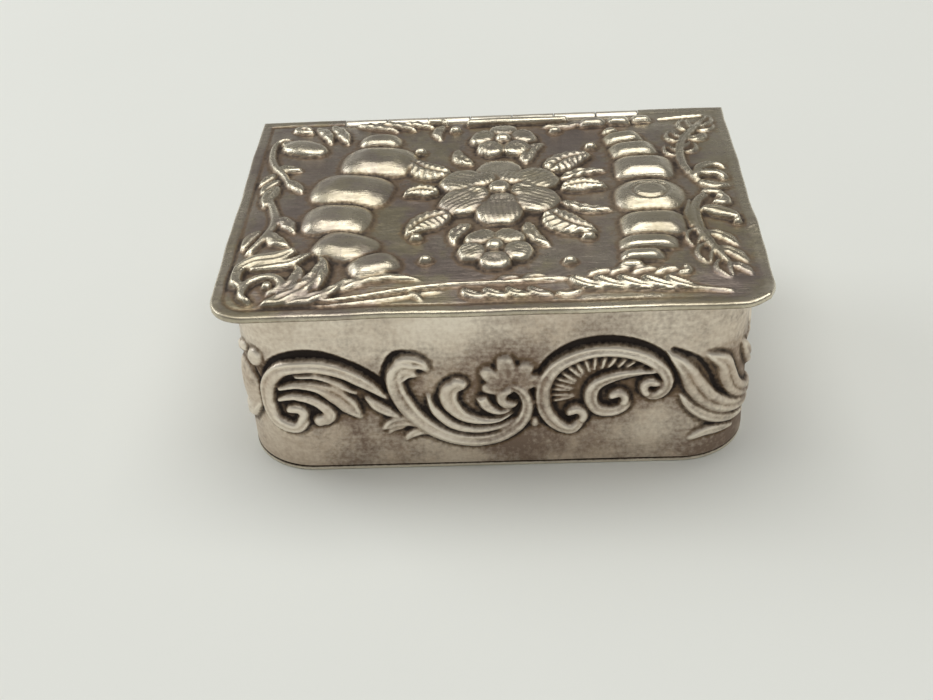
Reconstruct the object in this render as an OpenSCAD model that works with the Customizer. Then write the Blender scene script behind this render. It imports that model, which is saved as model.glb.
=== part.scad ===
// Embossed sheet-silver stamp box with a hinged lid.
// Millimetres, +Z up. The origin is the middle of the footprint, on the surface the box stands on.
// The front of the box faces -Y and the hinge runs along the back, parallel to X.

/* [Lid] */
// Width of the lid plate, left to right
lid_w = 46; // [42:0.5:60]
// Depth of the lid plate, front edge to back edge
lid_d = 35.7; // [33:0.1:48]
// Thickness of the lid sheet
lid_t = 0.5; // [0.35:0.05:0.8]
// Radius of the two front corners of the lid
lid_corner_r = 3.3; // [0.8:0.1:4]
// Width of the flat border round the raised panel
border_w = 1.3; // [0.8:0.1:2]
// Height of the raised panel above the border
panel_rise = 0.3; // [0.1:0.05:0.6]

/* [Body] */
// Height of the box to the mouth, base included
mouth_h = 16.3; // [14:0.1:24]
// Thickness of the wall sheet
wall_t = 0.45; // [0.3:0.05:0.8]
// Thickness of the base sheet
base_t = 0.45; // [0.3:0.05:0.8]
// Outside radius of the upright corners
corner_r = 6; // [4:0.5:8]
// How far the lid stands past the body at each side
side_overhang = 1.3; // [0.8:0.1:2.5]
// How far the lid stands past the body at the front
front_overhang = 1.3; // [0.8:0.1:2.5]
// Gap between the closed lid and the mouth
mouth_gap = 0.05; // [0.02:0.01:0.15]

/* [Hinge] */
// Outside radius of the knuckle tubes
knuckle_r = 0.75; // [0.65:0.05:0.95]
// Radius of the hinge pin
pin_r = 0.35; // [0.25:0.05:0.4]
// Radial clearance between the pin and the knuckle bores
pin_clearance = 0.04; // [0.02:0.01:0.06]
// Length of the whole hinge barrel
hinge_l = 29; // [21:1:30]
// Gap between neighbouring knuckles
knuckle_gap = 0.08; // [0.05:0.01:0.15]
// Gap between the barrel and what stands in front of it
barrel_gap = 0.06; // [0.04:0.01:0.12]
// Height of the bearer strip on the body
bearer_h = 1.9; // [1.4:0.1:3]

/* [Lid flange] */
// How far the flange hangs below the lid
flange_h = 1.6; // [1:0.1:2.5]
// Thickness of the flange strip
flange_t = 0.35; // [0.25:0.05:0.6]
// Clearance between the flange and the inside of the walls
flange_clearance = 0.15; // [0.12:0.01:0.3]
// Gap between the ends of the flange and the back wall
flange_end_gap = 2.5; // [1.5:0.1:5]

/* [Inside] */
// Thickness of the divider between the two compartments
divider_t = 0.4; // [0.3:0.05:0.8]
// Height of the divider above the base
divider_h = 10.5; // [8:0.5:11]
// Thickness of the sloping floors
slope_t = 0.35; // [0.25:0.05:0.6]
// Height of the sloping floors at the back, above the base
slope_h = 6.5; // [3:0.5:9]
// Clearance between the inside fittings and the walls
fitting_clearance = 0.08; // [0.05:0.01:0.2]

/* [Ornament] */
// Height of the scrolls on the walls
scroll_h = 0.7; // [0.3:0.05:0.75]
// Width of the scrolls on the walls, as a share of the drawn width
scroll_fullness = 1.15; // [0.8:0.05:1.3]
// Height of the large lobes on the lid
lobe_h = 1.1; // [0.6:0.05:1.6]
// Height of the vines and leaves on the lid
vine_h = 0.45; // [0.25:0.05:0.8]
// Height of the flowers on the lid
flower_h = 1.2; // [0.6:0.05:1.6]

/* [Hidden] */

silver = [0.72, 0.69, 0.62];
dark_silver = [0.52, 0.49, 0.44];
gilt = [0.82, 0.68, 0.40];

// A piece that is sunk into its neighbour reaches this far in
sink = 0.2;
// Free gap left where two faces of one assembly meet on a curve
seat_gap = 0.01;

// The barrel lies inside the back overhang of the lid, level with its back edge
barrel_y = lid_d / 2 - knuckle_r;
barrel_z = mouth_h;
seat_r = knuckle_r + barrel_gap;
back_y = barrel_y - seat_r;
front_y = -lid_d / 2 + front_overhang;
body_w = lid_w - 2 * side_overhang;
body_d = back_y - front_y;
body_y = (back_y + front_y) / 2;
lid_z = mouth_h + mouth_gap;
panel_z = lid_z + lid_t + panel_rise;

// The barrel is seven knuckles, four on the body and three on the lid
knuckle_n = 7;
knuckle_pitch = hinge_l / knuckle_n;
bore_r = pin_r + pin_clearance;

// Unrolled wall: s runs round the outside from the middle of the front, positive to the right
flat_x = body_w / 2 - corner_r;
flat_y = body_d / 2 - corner_r;
arc_l = PI * corner_r / 2;
girth = 4 * (flat_x + flat_y + arc_l);

// The frieze is drawn on a wall of this half girth and height and stretched to the real one
drawn_half_girth = 70.2;
drawn_h = 16.3;
stretch_s = girth / 2 / drawn_half_girth;
stretch_z = mouth_h / drawn_h;
// The lid design is drawn on a plate of this size, with y from the front edge
drawn_lid = [46, 35.7];
stretch_lid = [lid_w / drawn_lid.x, lid_d / drawn_lid.y];

// A stroke is [points, [width at start, middle and end], share of the full height].
// Left scroll of the front frieze, in [s, z]
LEFT_SCROLL = [
    [[[-16.0, 5.6], [-16.9, 4.8], [-18.4, 5.2], [-19.1, 6.8], [-18.9, 9.0], [-17.4, 10.7],
      [-15.2, 11.2], [-12.9, 10.5], [-10.8, 9.0], [-9.0, 7.5]], [0.9, 1.3, 0.5], 1],
    [[[-17.8, 9.3], [-16.2, 10.0], [-14.0, 9.7], [-11.6, 8.0]], [0.3, 0.7, 0.3], 0.8],
    [[[-18.0, 8.4], [-16.2, 8.9], [-14.4, 8.3], [-12.7, 6.8], [-11.3, 5.8]], [0.4, 1.2, 0.3], 0.9],
    [[[-17.9, 7.6], [-16.5, 7.8], [-15.0, 7.1], [-14.0, 5.9]], [0.3, 0.7, 0.9], 0.8],
    [[[-10.8, 7.9], [-9.6, 6.6], [-8.0, 5.7]], [0.3, 0.8, 0.3], 0.7]];
// Middle scroll
MIDDLE_SCROLL = [
    [[[-6.4, 10.3], [-7.7, 10.4], [-8.2, 9.0], [-7.7, 7.0], [-6.4, 5.0], [-4.2, 3.3], [-1.6, 2.8],
      [0.9, 3.5], [2.6, 5.4], [2.7, 7.4], [1.6, 8.4], [0.6, 7.9]], [1.3, 1.1, 0.8], 1],
    [[[-5.6, 7.6], [-5.0, 5.8], [-3.2, 4.2], [-0.4, 3.9]], [0.3, 0.6, 0.3], 0.7],
    [[[-3.1, 9.2], [-3.8, 7.8], [-3.3, 6.0], [-1.6, 4.8], [0.8, 4.9]], [1.3, 1.2, 0.4], 0.9],
    [[[-1.5, 7.2], [-0.6, 6.0], [1.5, 5.6]], [0.9, 1.0, 0.3], 0.8],
    [[[-9.4, 4.0], [-8.4, 4.5], [-6.8, 4.5]], [1.1, 0.7, 0.3], 0.6],
    [[[-7.6, 2.8], [-6.8, 3.4], [-5.6, 3.6]], [0.6, 0.6, 0.3], 0.6]];
// Right scroll
RIGHT_SCROLL = [
    [[[7.5, 5.3], [6.6, 4.2], [5.2, 4.7], [4.2, 6.4], [4.2, 8.6], [5.6, 10.5], [8.0, 11.5],
      [10.6, 11.4], [12.9, 10.4], [14.3, 8.6], [13.8, 7.2], [12.6, 7.4]], [0.9, 1.1, 0.8], 1],
    [[[13.4, 9.1], [11.4, 9.3], [9.2, 8.6], [7.9, 7.2], [8.4, 5.8], [9.9, 5.6], [10.8, 6.4]],
     [0.4, 1.0, 0.9], 0.9]];
// Leaves that wrap round an upright corner
CORNER_LEAVES = [
    [[[14.4, 11.2], [15.9, 9.2], [18.0, 6.5], [20.8, 4.6], [23.4, 3.9]], [0.5, 1.9, 0.5], 0.9],
    [[[18.4, 10.6], [19.9, 8.8], [21.2, 6.5], [24.0, 4.9]], [0.6, 1.8, 0.4], 0.8],
    [[[15.5, 7.2], [17.2, 4.9], [20.6, 3.3]], [0.3, 1.1, 0.3], 0.7],
    [[[16.5, 2.0], [18.4, 2.4], [20.6, 2.1]], [0.5, 0.9, 0.3], 0.6]];
// Round eyes of the volutes, as [s, z, radius]
VOLUTE_EYES = [[-16.9, 6.1, 0.8], [-14.5, 5.6, 0.75], [1.3, 7.2, 0.75], [6.7, 5.3, 0.8],
               [13.2, 8.15, 0.75], [10.1, 6.7, 0.8]];
// Petals of the small palmette over the middle volute, as [angle, length]
PALMETTE = [[168, 2.1], [138, 2.3], [108, 2.45], [80, 2.2], [52, 2.05], [24, 1.95]];
palmette_at = [1.0, 8.9];
// Flutes under the right scroll, as [start, end]
FLUTES = [[[5.0, 6.9], [6.5, 7.2]], [[4.9, 7.9], [6.8, 8.2]], [[5.1, 8.9], [7.0, 9.4]],
          [[6.0, 10.0], [7.4, 9.9]], [[7.9, 10.8], [8.5, 10.1]], [[9.7, 11.0], [9.9, 10.3]]];
// The side walls carry the middle scroll, moved by this and widened by this share
side_scroll_move = 36.1;
side_scroll_widen = 1.25;
// The leaves at the left corner are those at the right, mirrored and moved by this
left_corner_move = -5.4;

// Strokes on the lid, in [x, y from the front edge]
LID_VINES = [
    [[[-16.0, 1.7], [-9.0, 2.6], [0.0, 3.4], [8.0, 3.7], [13.0, 2.9], [18.5, 1.8]], [0.4, 0.5, 0.3], 0.8],
    [[[-14.5, 2.4], [-11.0, 3.9], [-8.0, 4.7], [-5.6, 4.4]], [0.3, 1.0, 0.3], 1.2],
    [[[-19.2, 31.6], [-21.0, 30.8], [-21.1, 28.0], [-19.7, 25.2], [-18.2, 21.2]], [0.8, 0.6, 0.3], 1],
    [[[-20.2, 18.2], [-19.8, 15.6], [-20.3, 12.0], [-21.0, 8.6], [-20.4, 5.0]], [0.4, 0.8, 1.0], 1.2],
    [[[-17.2, 4.4], [-18.8, 4.2], [-19.0, 2.6], [-17.4, 1.9], [-15.8, 3.2], [-14.2, 6.0]],
     [0.5, 0.7, 0.3], 1.2],
    [[[-2.0, 33.2], [3.0, 33.1], [7.4, 33.1]], [0.9, 1.1, 0.9], 1.4],
    [[[-13.0, 33.6], [-9.0, 33.0], [-6.0, 33.2]], [0.4, 0.8, 0.4], 0.9],
    [[[16.3, 33.1], [20.6, 33.8]], [0.4, 0.3, 0.3], 0.6],
    [[[20.6, 18.6], [18.4, 20.4], [17.7, 23.4], [18.3, 27.6], [20.4, 32.2]], [0.6, 0.6, 0.3], 0.9],
    [[[18.6, 20.6], [19.5, 21.9], [21.2, 21.6]], [0.4, 0.7, 0.6], 1.1],
    [[[20.2, 17.0], [18.4, 15.6], [17.9, 12.0], [18.4, 8.2], [20.0, 4.6]], [0.6, 0.6, 0.3], 0.9]];
// Leaves and small lobes on the lid, as [x, y, half length, half width, angle, share of lobe_h]
LID_LEAVES = [
    [-18.2, 29.0, 2.4, 1.1, -15, 0.8], [-14.5, 31.4, 1.9, 0.8, 110, 0.6], [-18.6, 33.0, 1.2, 0.5, 10, 0.5],
    [-18.9, 24.6, 1.1, 0.5, -40, 0.5], [-20.9, 23.0, 0.8, 0.4, 25, 0.4], [-20.6, 21.0, 1.0, 0.5, 35, 0.5],
    [-20.2, 19.2, 1.2, 0.6, 65, 0.6], [-18.5, 14.0, 1.5, 0.6, 60, 0.6], [-18.7, 11.2, 1.9, 0.7, 50, 0.6],
    [-18.2, 8.3, 2.3, 0.9, 20, 0.8], [-17.2, 5.8, 1.7, 0.7, 45, 0.6], [-15.0, 4.4, 1.9, 0.7, 60, 0.7],
    [9.9, 32.2, 1.5, 0.8, 0, 0.7], [12.5, 32.3, 1.2, 0.8, 0, 0.7], [14.7, 32.6, 1.0, 0.7, 10, 0.6],
    [17.8, 28.2, 1.2, 0.5, 75, 0.4], [19.9, 28.6, 1.3, 0.5, 50, 0.4], [18.9, 31.2, 1.2, 0.4, 85, 0.4],
    [21.0, 31.0, 1.0, 0.4, 45, 0.4], [20.6, 19.0, 0.9, 0.5, -20, 0.5], [20.5, 15.8, 0.7, 0.6, 0, 0.5],
    [20.2, 13.4, 1.2, 0.7, -10, 0.7], [17.9, 6.8, 1.1, 0.5, -80, 0.4], [20.2, 7.8, 1.5, 0.4, -45, 0.4],
    [20.9, 5.8, 1.1, 0.4, -40, 0.4], [18.9, 4.6, 1.0, 0.5, -85, 0.4]];
// Gadrooned lobes to the left and right of the middle
LID_LOBES = [
    [-10.6, 29.2, 2.0, 1.2, 0, 0.75], [-10.4, 25.0, 3.6, 2.8, -6, 1], [-12.6, 19.6, 3.8, 2.6, -13, 1],
    [-13.4, 14.5, 3.2, 2.4, -5, 0.95], [-12.4, 9.8, 2.8, 2.1, -24, 0.9], [-9.8, 6.8, 2.2, 1.6, 24, 0.8],
    [11.4, 29.7, 0.8, 0.5, 30, 0.4], [12.6, 28.1, 1.9, 1.0, 15, 0.65], [13.4, 25.6, 2.2, 1.25, 12, 0.75],
    [14.0, 22.2, 2.8, 2.1, 0, 0.95], [14.2, 16.9, 3.3, 2.9, 0, 1], [14.0, 12.0, 3.0, 1.9, 0, 0.95],
    [13.4, 9.1, 2.5, 0.9, 0, 0.65], [12.5, 7.2, 1.7, 0.65, 0, 0.55]];
// Slanting leaves that hang from the garland along the front of the lid, as [x, y]
GARLAND_LEAVES = [for (i = [0 : 8]) [0.6 + 1.9 * i, 2.3 + 0.25 * sin(22 * i)]];

// Floral middle of the lid: one open rose, two blossoms above and below it, and leaves between them
rose_at = [0.8, 18.6];
rose_r = 4.9;
blossom_r = 2.5;
blossom_away = 10.3;
rose_leaf = [4.0, 1.5];

// ---- Shared shapes

function lerp(a, b, t) = a + (b - a) * t;
// Width along a stroke, from its start through its middle to its end
function width_at(w, t) = t < 0.5 ? lerp(w[0], w[1], 2 * t) : lerp(w[1], w[2], 2 * t - 1);
// Catmull-Rom point between b and c
function between(a, b, c, d, t) =
    0.5 * (2 * b + (c - a) * t + (2 * a - 5 * b + 4 * c - d) * t * t + (3 * b - a - 3 * c + d) * t * t * t);
// A smooth line through the points p, with m steps from one to the next
function smooth(p, m) = [
    for (i = [0 : len(p) - 2], k = [0 : m - 1])
        between(p[max(i - 1, 0)], p[i], p[i + 1], p[min(i + 2, len(p) - 1)], k / m),
    p[len(p) - 1]];
function unit(v) = v / norm(v);
function along(path, i) = unit(path[min(i + 1, len(path) - 1)] - path[max(i - 1, 0)]);

// Place on the unrolled wall, stood out from it by h
function wall_point(s, z, h) = let (
        turned = s - girth * floor(s / girth + 0.5),
        side = turned < 0 ? -1 : 1,
        a = abs(turned),
        b = a - flat_x - arc_l - 2 * flat_y,
        corner_1 = min(max((a - flat_x) / corner_r, 0), PI / 2) * 180 / PI,
        corner_2 = min(max(b / corner_r, 0), PI / 2) * 180 / PI,
        turn = corner_1 + corner_2,
        base = a < flat_x ? [a, -body_d / 2]
             : a < flat_x + arc_l ? [flat_x, -flat_y] + corner_r * [sin(turn), -cos(turn)]
             : b < 0 ? [body_w / 2, -flat_y + a - flat_x - arc_l]
             : b < arc_l ? [flat_x, flat_y] + corner_r * [sin(turn), -cos(turn)]
             : [flat_x - b + arc_l, body_d / 2],
        out = base + h * [sin(turn), -cos(turn)]
    ) [side * out.x, out.y + body_y, z];
// Place on the lid's raised panel, stood up from it by h
function lid_point(x, y, h) = [x * stretch_lid.x, y * stretch_lid.y - lid_d / 2, panel_z + h];

// A raised stroke with sloping sides along path. place turns [u, v] and a height into a point
module raised_stroke(path, w, h, place) {
    last = len(path) - 1;
    top_share = 0.55;
    points = [for (i = [0 : last]) let (
            t = along(path, i),
            across = [-t.y, t.x] * width_at(w, i / last) / 2,
            rise = h * (0.45 + 0.55 * sin(180 * (0.12 + 0.76 * i / last))),
            sides = [[across, -sink], [top_share * across, rise], [-top_share * across, rise], [-across, -sink]]
        ) each [for (q = sides) let (p = path[i] + q[0]) place(p.x, p.y, q[1])]];
    faces = [
        for (i = [0 : last - 1], k = [0 : 3]) let (
            a = 4 * i + k, b = 4 * i + (k + 1) % 4
        ) each [[a, a + 4, b], [b, a + 4, b + 4]],
        [0, 1, 2, 3],
        [for (k = [3 : -1 : 0]) 4 * last + k]];
    polyhedron(points, faces);
}

// A low oval dome with its half length along X, sunk into what it stands on
module dome(half_l, half_w, h, rings = 3, sides = 18) {
    hull() {
        translate([0, 0, -sink]) scale([half_l, half_w, 1]) cylinder(r = 1, h = sink / 2, $fn = sides);
        for (k = [1 : rings]) let (a = 90 * k / (rings + 0.6))
            translate([0, 0, h * sin(a) - seat_gap]) scale([half_l * cos(a), half_w * cos(a), 1])
                cylinder(r = 1, h = seat_gap, $fn = sides);
    }
}

// Outline of the body, drawn in by inset
module body_outline(inset = 0) {
    r = corner_r - inset;
    translate([0, body_y]) {
        square([body_w - 2 * inset, body_d - 2 * corner_r], center = true);
        square([body_w - 2 * corner_r, body_d - 2 * inset], center = true);
        for (x = [-1, 1], y = [-1, 1]) translate([x * flat_x, y * flat_y]) circle(r = r, $fn = 48);
    }
}

// Outline of the lid plate, drawn in by inset, with square corners at the back
module lid_outline(inset = 0) {
    r = lid_corner_r;
    w = lid_w / 2 - inset;
    front = -lid_d / 2 + inset;
    translate([-w, front + r]) square([2 * w, lid_d - 2 * inset - r]);
    translate([-w + r, front]) square([2 * w - 2 * r, r + 1]);
    for (x = [-1, 1]) translate([x * (w - r), front + r]) circle(r = r, $fn = 32);
}

// ---- The ornament

module wall_stroke(stroke, move = 0, widen = 1) {
    path = [for (p = smooth(stroke[0], 2)) [p.x * widen + move, p.y]];
    raised_stroke(path, scroll_fullness * stroke[1], scroll_h * stroke[2],
                  function(s, z, h) wall_point(s * stretch_s, z * stretch_z, h));
}

module wall_dome(s, z, half_l, half_w, h) {
    at = wall_point(s * stretch_s, z * stretch_z, 0);
    out = wall_point(s * stretch_s, z * stretch_z, 1) - at;
    translate(at) rotate([0, 0, atan2(out.x, -out.y)]) rotate([90, 0, 0])
        dome(half_l, half_w, h, rings = 2, sides = 14);
}

module palmette() {
    for (p = PALMETTE) let (way = [cos(p[0]), sin(p[0])])
        wall_stroke([[palmette_at + 0.5 * way, palmette_at + p[1] * way], [0.3, 0.7, 0.6], 0.4 + 0.1 * p[1]]);
}

// Everything on one front wall and one side wall. The other two walls repeat it half way round
module half_frieze(move) {
    for (stroke = concat(LEFT_SCROLL, MIDDLE_SCROLL, RIGHT_SCROLL, CORNER_LEAVES))
        wall_stroke(stroke, move);
    for (stroke = CORNER_LEAVES) let (
            mirrored = [for (p = stroke[0]) [left_corner_move - p.x, p.y]]
        ) wall_stroke([mirrored, stroke[1], stroke[2]], move);
    for (stroke = MIDDLE_SCROLL) wall_stroke(stroke, side_scroll_move + move, side_scroll_widen);
    for (e = VOLUTE_EYES) wall_dome(e[0] + move, e[1], e[2], e[2], scroll_h * 0.9);
    for (f = FLUTES) wall_stroke([f, [0.5, 0.4, 0.3], 0.5], move);
}

module flower(at, r, petals, petal_share) {
    translate(lid_point(at.x, at.y, 0)) {
        dome(r * 0.3, r * 0.3, flower_h, sides = 14);
        for (i = [0 : petals - 1]) rotate(360 * i / petals + 90) translate([r * 0.62, 0])
            dome(r * 0.38, r * petal_share, flower_h * 0.75, sides = 14);
    }
}

module floral_middle() {
    flower(rose_at, rose_r, 8, 0.27);
    flower(rose_at, rose_r * 0.62, 5, 0.34);
    for (side = [-1, 1]) flower(rose_at + [0, side * blossom_away], blossom_r, 5, 0.36);
    for (a = [0, 48, 132, 180, 228, 312]) let (
            reach = rose_r + 0.8 * rose_leaf.x,
            p = rose_at + reach * [cos(a), sin(a)],
            size = a % 180 == 0 ? 0.75 * rose_leaf : rose_leaf
        ) translate(lid_point(p.x, p.y, 0)) rotate(a) dome(size.x * 0.8, size.y, lobe_h * 0.6, sides = 12);
}

// ---- Pieces of the body

// Wall sheet, bent round the four corners, with the embossed frieze standing out of it
module side_band() {
    color(silver) union() {
        translate([0, 0, base_t]) linear_extrude(mouth_h - base_t) difference() {
            body_outline();
            body_outline(wall_t);
        }
        for (half = [0, 1]) half_frieze(half * drawn_half_girth);
        palmette();
    }
}

module base_plate() {
    color(silver) linear_extrude(base_t) body_outline();
}

// Strip soldered to the back wall, hollowed along its top to carry the barrel
module body_hinge_bearer() {
    color(dark_silver) difference() {
        translate([-hinge_l / 2, back_y, mouth_h - bearer_h])
            cube([hinge_l, seat_r, bearer_h - mouth_gap]);
        barrel_seat(0);
    }
}

// Strip soldered in front of the barrel, along the back edge of the lid plate
module lid_hinge_bearer() {
    color(dark_silver) difference() {
        translate([-hinge_l / 2, back_y - mouth_gap, lid_z])
            cube([hinge_l, seat_r, lid_t]);
        barrel_seat(1);
    }
}

// Hollow for the barrel. The knuckles of the own side (0 body, 1 lid) lie close in it, the others run free
module barrel_seat(own) {
    for (i = [0 : knuckle_n - 1])
        translate([-hinge_l / 2 + i * knuckle_pitch, barrel_y, barrel_z]) rotate([0, 90, 0])
            cylinder(r = i % 2 == own ? knuckle_r + seat_gap : seat_r, h = knuckle_pitch, $fn = 48);
}

// Knuckle tube number i, counted from the left
module knuckle(i) {
    color(dark_silver)
        translate([-hinge_l / 2 + i * knuckle_pitch + knuckle_gap / 2, barrel_y, barrel_z]) rotate([0, 90, 0])
            difference() {
                cylinder(r = knuckle_r, h = knuckle_pitch - knuckle_gap, $fn = 48);
                translate([0, 0, -1]) cylinder(r = bore_r, h = knuckle_pitch + 2, $fn = 36);
            }
}

module body_knuckle(i) {
    knuckle(2 * i);
}

module lid_knuckle(i) {
    knuckle(2 * i + 1);
}

module hinge_pin() {
    color(dark_silver) translate([-hinge_l / 2, barrel_y, barrel_z]) rotate([0, 90, 0])
        cylinder(r = pin_r, h = hinge_l, $fn = 36);
}

// Upright sheet that parts the inside into two compartments
module compartment_divider() {
    inside_d = body_d - 2 * wall_t - 2 * fitting_clearance;
    color(gilt) translate([-divider_t / 2, body_y - inside_d / 2, base_t])
        cube([divider_t, inside_d, divider_h]);
}

// Bent sheet: a floor that slopes up to the back, with a leg down to the base
module stamp_slope(side) {
    inset = wall_t + fitting_clearance;
    y0 = front_y + inset;
    y1 = back_y - inset;
    lift = slope_t / cos(atan(slope_h / (y1 - y0)));
    x_in = divider_t / 2 + fitting_clearance;
    color(gilt) intersection() {
        translate([side < 0 ? -body_w / 2 : x_in, 0, base_t]) rotate([90, 0, 90])
            linear_extrude(body_w / 2 - x_in)
                polygon([[y0, 0], [y0, lift], [y1 - slope_t, slope_h], [y1, slope_h], [y1, 0],
                         [y1 - slope_t, 0], [y1 - slope_t, slope_h - lift], [y0 + lift, 0]]);
        linear_extrude(mouth_h) body_outline(inset);
    }
}

// ---- Pieces of the lid

// Lid sheet: flat border, raised panel and embossed design, notched at the back for the barrel
module lid_plate() {
    color(silver) difference() {
        union() {
            translate([0, 0, lid_z]) linear_extrude(lid_t) lid_outline();
            translate([0, 0, lid_z]) linear_extrude(lid_t + panel_rise) lid_outline(border_w);
            lid_design();
        }
        translate([-hinge_l / 2 - barrel_gap, back_y - mouth_gap, mouth_h - 1])
            cube([hinge_l + 2 * barrel_gap, lid_d, panel_z]);
    }
}

module lid_design() {
    for (vine = LID_VINES) let (path = smooth(vine[0], 3))
        raised_stroke(path, vine[1], vine_h * vine[2], function(x, y, h) lid_point(x, y, h));
    for (leaf = LID_LEAVES) lid_dome(leaf, 2, 12);
    for (lobe = LID_LOBES) lid_dome(lobe, 3, 20);
    for (g = GARLAND_LEAVES) lid_dome([g.x, g.y, 1.1, 0.4, -35, 0.35], 1, 8);
    floral_middle();
}

module lid_dome(d, rings, sides) {
    translate(lid_point(d[0], d[1], 0)) rotate(d[4]) dome(d[2], d[3], lobe_h * d[5], rings, sides);
}

// Strip under the lid that drops inside the front and side walls and holds the lid shut
module lid_flange() {
    outer = wall_t + flange_clearance;
    color(silver) translate([0, 0, lid_z - flange_h]) linear_extrude(flange_h) difference() {
        body_outline(outer);
        body_outline(outer + flange_t);
        translate([-body_w, back_y - wall_t - flange_end_gap - corner_r]) square([2 * body_w, lid_d]);
    }
}

side_band();
base_plate();
body_hinge_bearer();
body_knuckle(0);  // body_knuckle_1
body_knuckle(1);  // body_knuckle_2
body_knuckle(2);  // body_knuckle_3
body_knuckle(3);  // body_knuckle_4
hinge_pin();
compartment_divider();
stamp_slope(-1);  // stamp_slope_left
stamp_slope(1);  // stamp_slope_right
lid_plate();
lid_flange();
lid_hinge_bearer();
lid_knuckle(0);  // lid_knuckle_1
lid_knuckle(1);  // lid_knuckle_2
lid_knuckle(2);  // lid_knuckle_3
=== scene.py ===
# %% [markdown]
# # An embossed silver stamp box
# This lesson dresses a small hinged box of sheet silver. The measured solids of the box are loaded first
# and never change. Every piece made here is fitted to them, so the box still opens and shuts as it should.

import bmesh
import bpy
import numpy as np
from mathutils import Matrix, Vector


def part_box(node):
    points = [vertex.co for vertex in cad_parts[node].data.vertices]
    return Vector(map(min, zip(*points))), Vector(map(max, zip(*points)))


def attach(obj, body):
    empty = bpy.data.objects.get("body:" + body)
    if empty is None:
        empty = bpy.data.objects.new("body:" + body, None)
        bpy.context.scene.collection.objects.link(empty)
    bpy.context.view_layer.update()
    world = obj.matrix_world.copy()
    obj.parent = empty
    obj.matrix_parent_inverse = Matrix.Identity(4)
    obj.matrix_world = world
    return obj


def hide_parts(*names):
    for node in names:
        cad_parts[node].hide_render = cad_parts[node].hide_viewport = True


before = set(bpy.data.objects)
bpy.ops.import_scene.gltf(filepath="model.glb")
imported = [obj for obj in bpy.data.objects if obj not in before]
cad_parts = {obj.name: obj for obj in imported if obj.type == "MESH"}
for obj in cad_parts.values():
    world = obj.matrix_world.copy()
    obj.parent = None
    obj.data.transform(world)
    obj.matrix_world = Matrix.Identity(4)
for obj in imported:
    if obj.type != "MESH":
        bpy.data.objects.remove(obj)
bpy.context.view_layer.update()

print("nodes:", ", ".join(sorted(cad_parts)))

# %% [markdown]
# ## Sizes
# The pieces are worked out in millimetres, because that is how a silversmith thinks of them, and turned
# into metres only when a mesh is made. The sizes come from the solids, so this file follows them.

# %% Read the sizes off the solids
def box_mm(node):
    low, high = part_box(node)
    return np.array(low) * 1000, np.array(high) * 1000


lid_low, lid_high = box_mm("lid_plate")
foot_low, foot_high = box_mm("base_plate")
wall_low, wall_high = box_mm("side_band")
pin_low, pin_high = box_mm("hinge_pin")
lid_w, lid_d = lid_high[0] - lid_low[0], lid_high[1] - lid_low[1]
lid_front, lid_z = lid_low[1], lid_low[2]
lid_t, panel_rise, border_w, lid_corner = 0.5, 0.3, 1.1, 3.3
base_t, mouth_z = foot_high[2], wall_high[2]
sheet_t, corner_r = 0.45, 6.0
half_w, half_d = foot_high[0], (foot_high[1] - foot_low[1]) / 2
body_y = (foot_high[1] + foot_low[1]) / 2
flat_x, flat_y = half_w - corner_r, half_d - corner_r
corner_l = np.pi * corner_r / 2
girth = 4 * (flat_x + flat_y + corner_l)
axis_y, axis_z = (pin_low[1] + pin_high[1]) / 2, (pin_low[2] + pin_high[2]) / 2
print(f"lid {lid_w:.1f} x {lid_d:.1f} mm, walls {girth:.1f} mm round, mouth at {mouth_z:.1f} mm")

# %% [markdown]
# ## The camera
# The box was looked at from a little above and a little to its right, with the camera tilted by three
# degrees. A camera needs a place, a target and a roll, and its lens sets how strong the perspective is.

# %% Set up the camera
view_turn, view_rise, view_roll = np.radians([2.941, 35.052, -3.380])
view_target = np.array([-2.805, 15 - 17.85, 2.712])
view_reach = 129.8


def camera_axes(turn, rise, roll):
    back = np.array([np.sin(turn) * np.cos(rise), -np.cos(turn) * np.cos(rise), np.sin(rise)])
    right = np.cross(-back, [0, 0, 1])
    right /= np.linalg.norm(right)
    up = np.cross(right, -back)
    return np.cos(roll) * right + np.sin(roll) * up, np.cos(roll) * up - np.sin(roll) * right, back


right, up, back = camera_axes(view_turn, view_rise, view_roll)
camera_data = bpy.data.cameras.new("camera")
camera_data.sensor_width = 36
camera_data.lens = 53.37
camera_data.clip_start = 0.005
camera = bpy.data.objects.new("camera", camera_data)
place = Matrix([[*axis, 0] for axis in np.stack([right, up, back], 1)] + [[0, 0, 0, 1]])
camera.matrix_world = Matrix.Translation(Vector((view_target + view_reach * back) / 1000)) @ place
bpy.context.scene.collection.objects.link(camera)
bpy.context.scene.camera = camera
bpy.context.scene.view_settings.view_transform = "Standard"
print("camera at", [round(v, 3) for v in camera.matrix_world.translation], "m")

# %% [markdown]
# ## A drawing board for relief
# Embossed silver is one thin sheet, hammered up from behind and sharpened with small punches from the
# front. It could be sculpted by hand, but then it could never be changed. Here the relief is a drawing
# instead: a board with one height for every tenth of a millimetre, on which each scroll, leaf and lobe is
# pressed in turn. The mesh is bent to the box only at the end.

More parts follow.
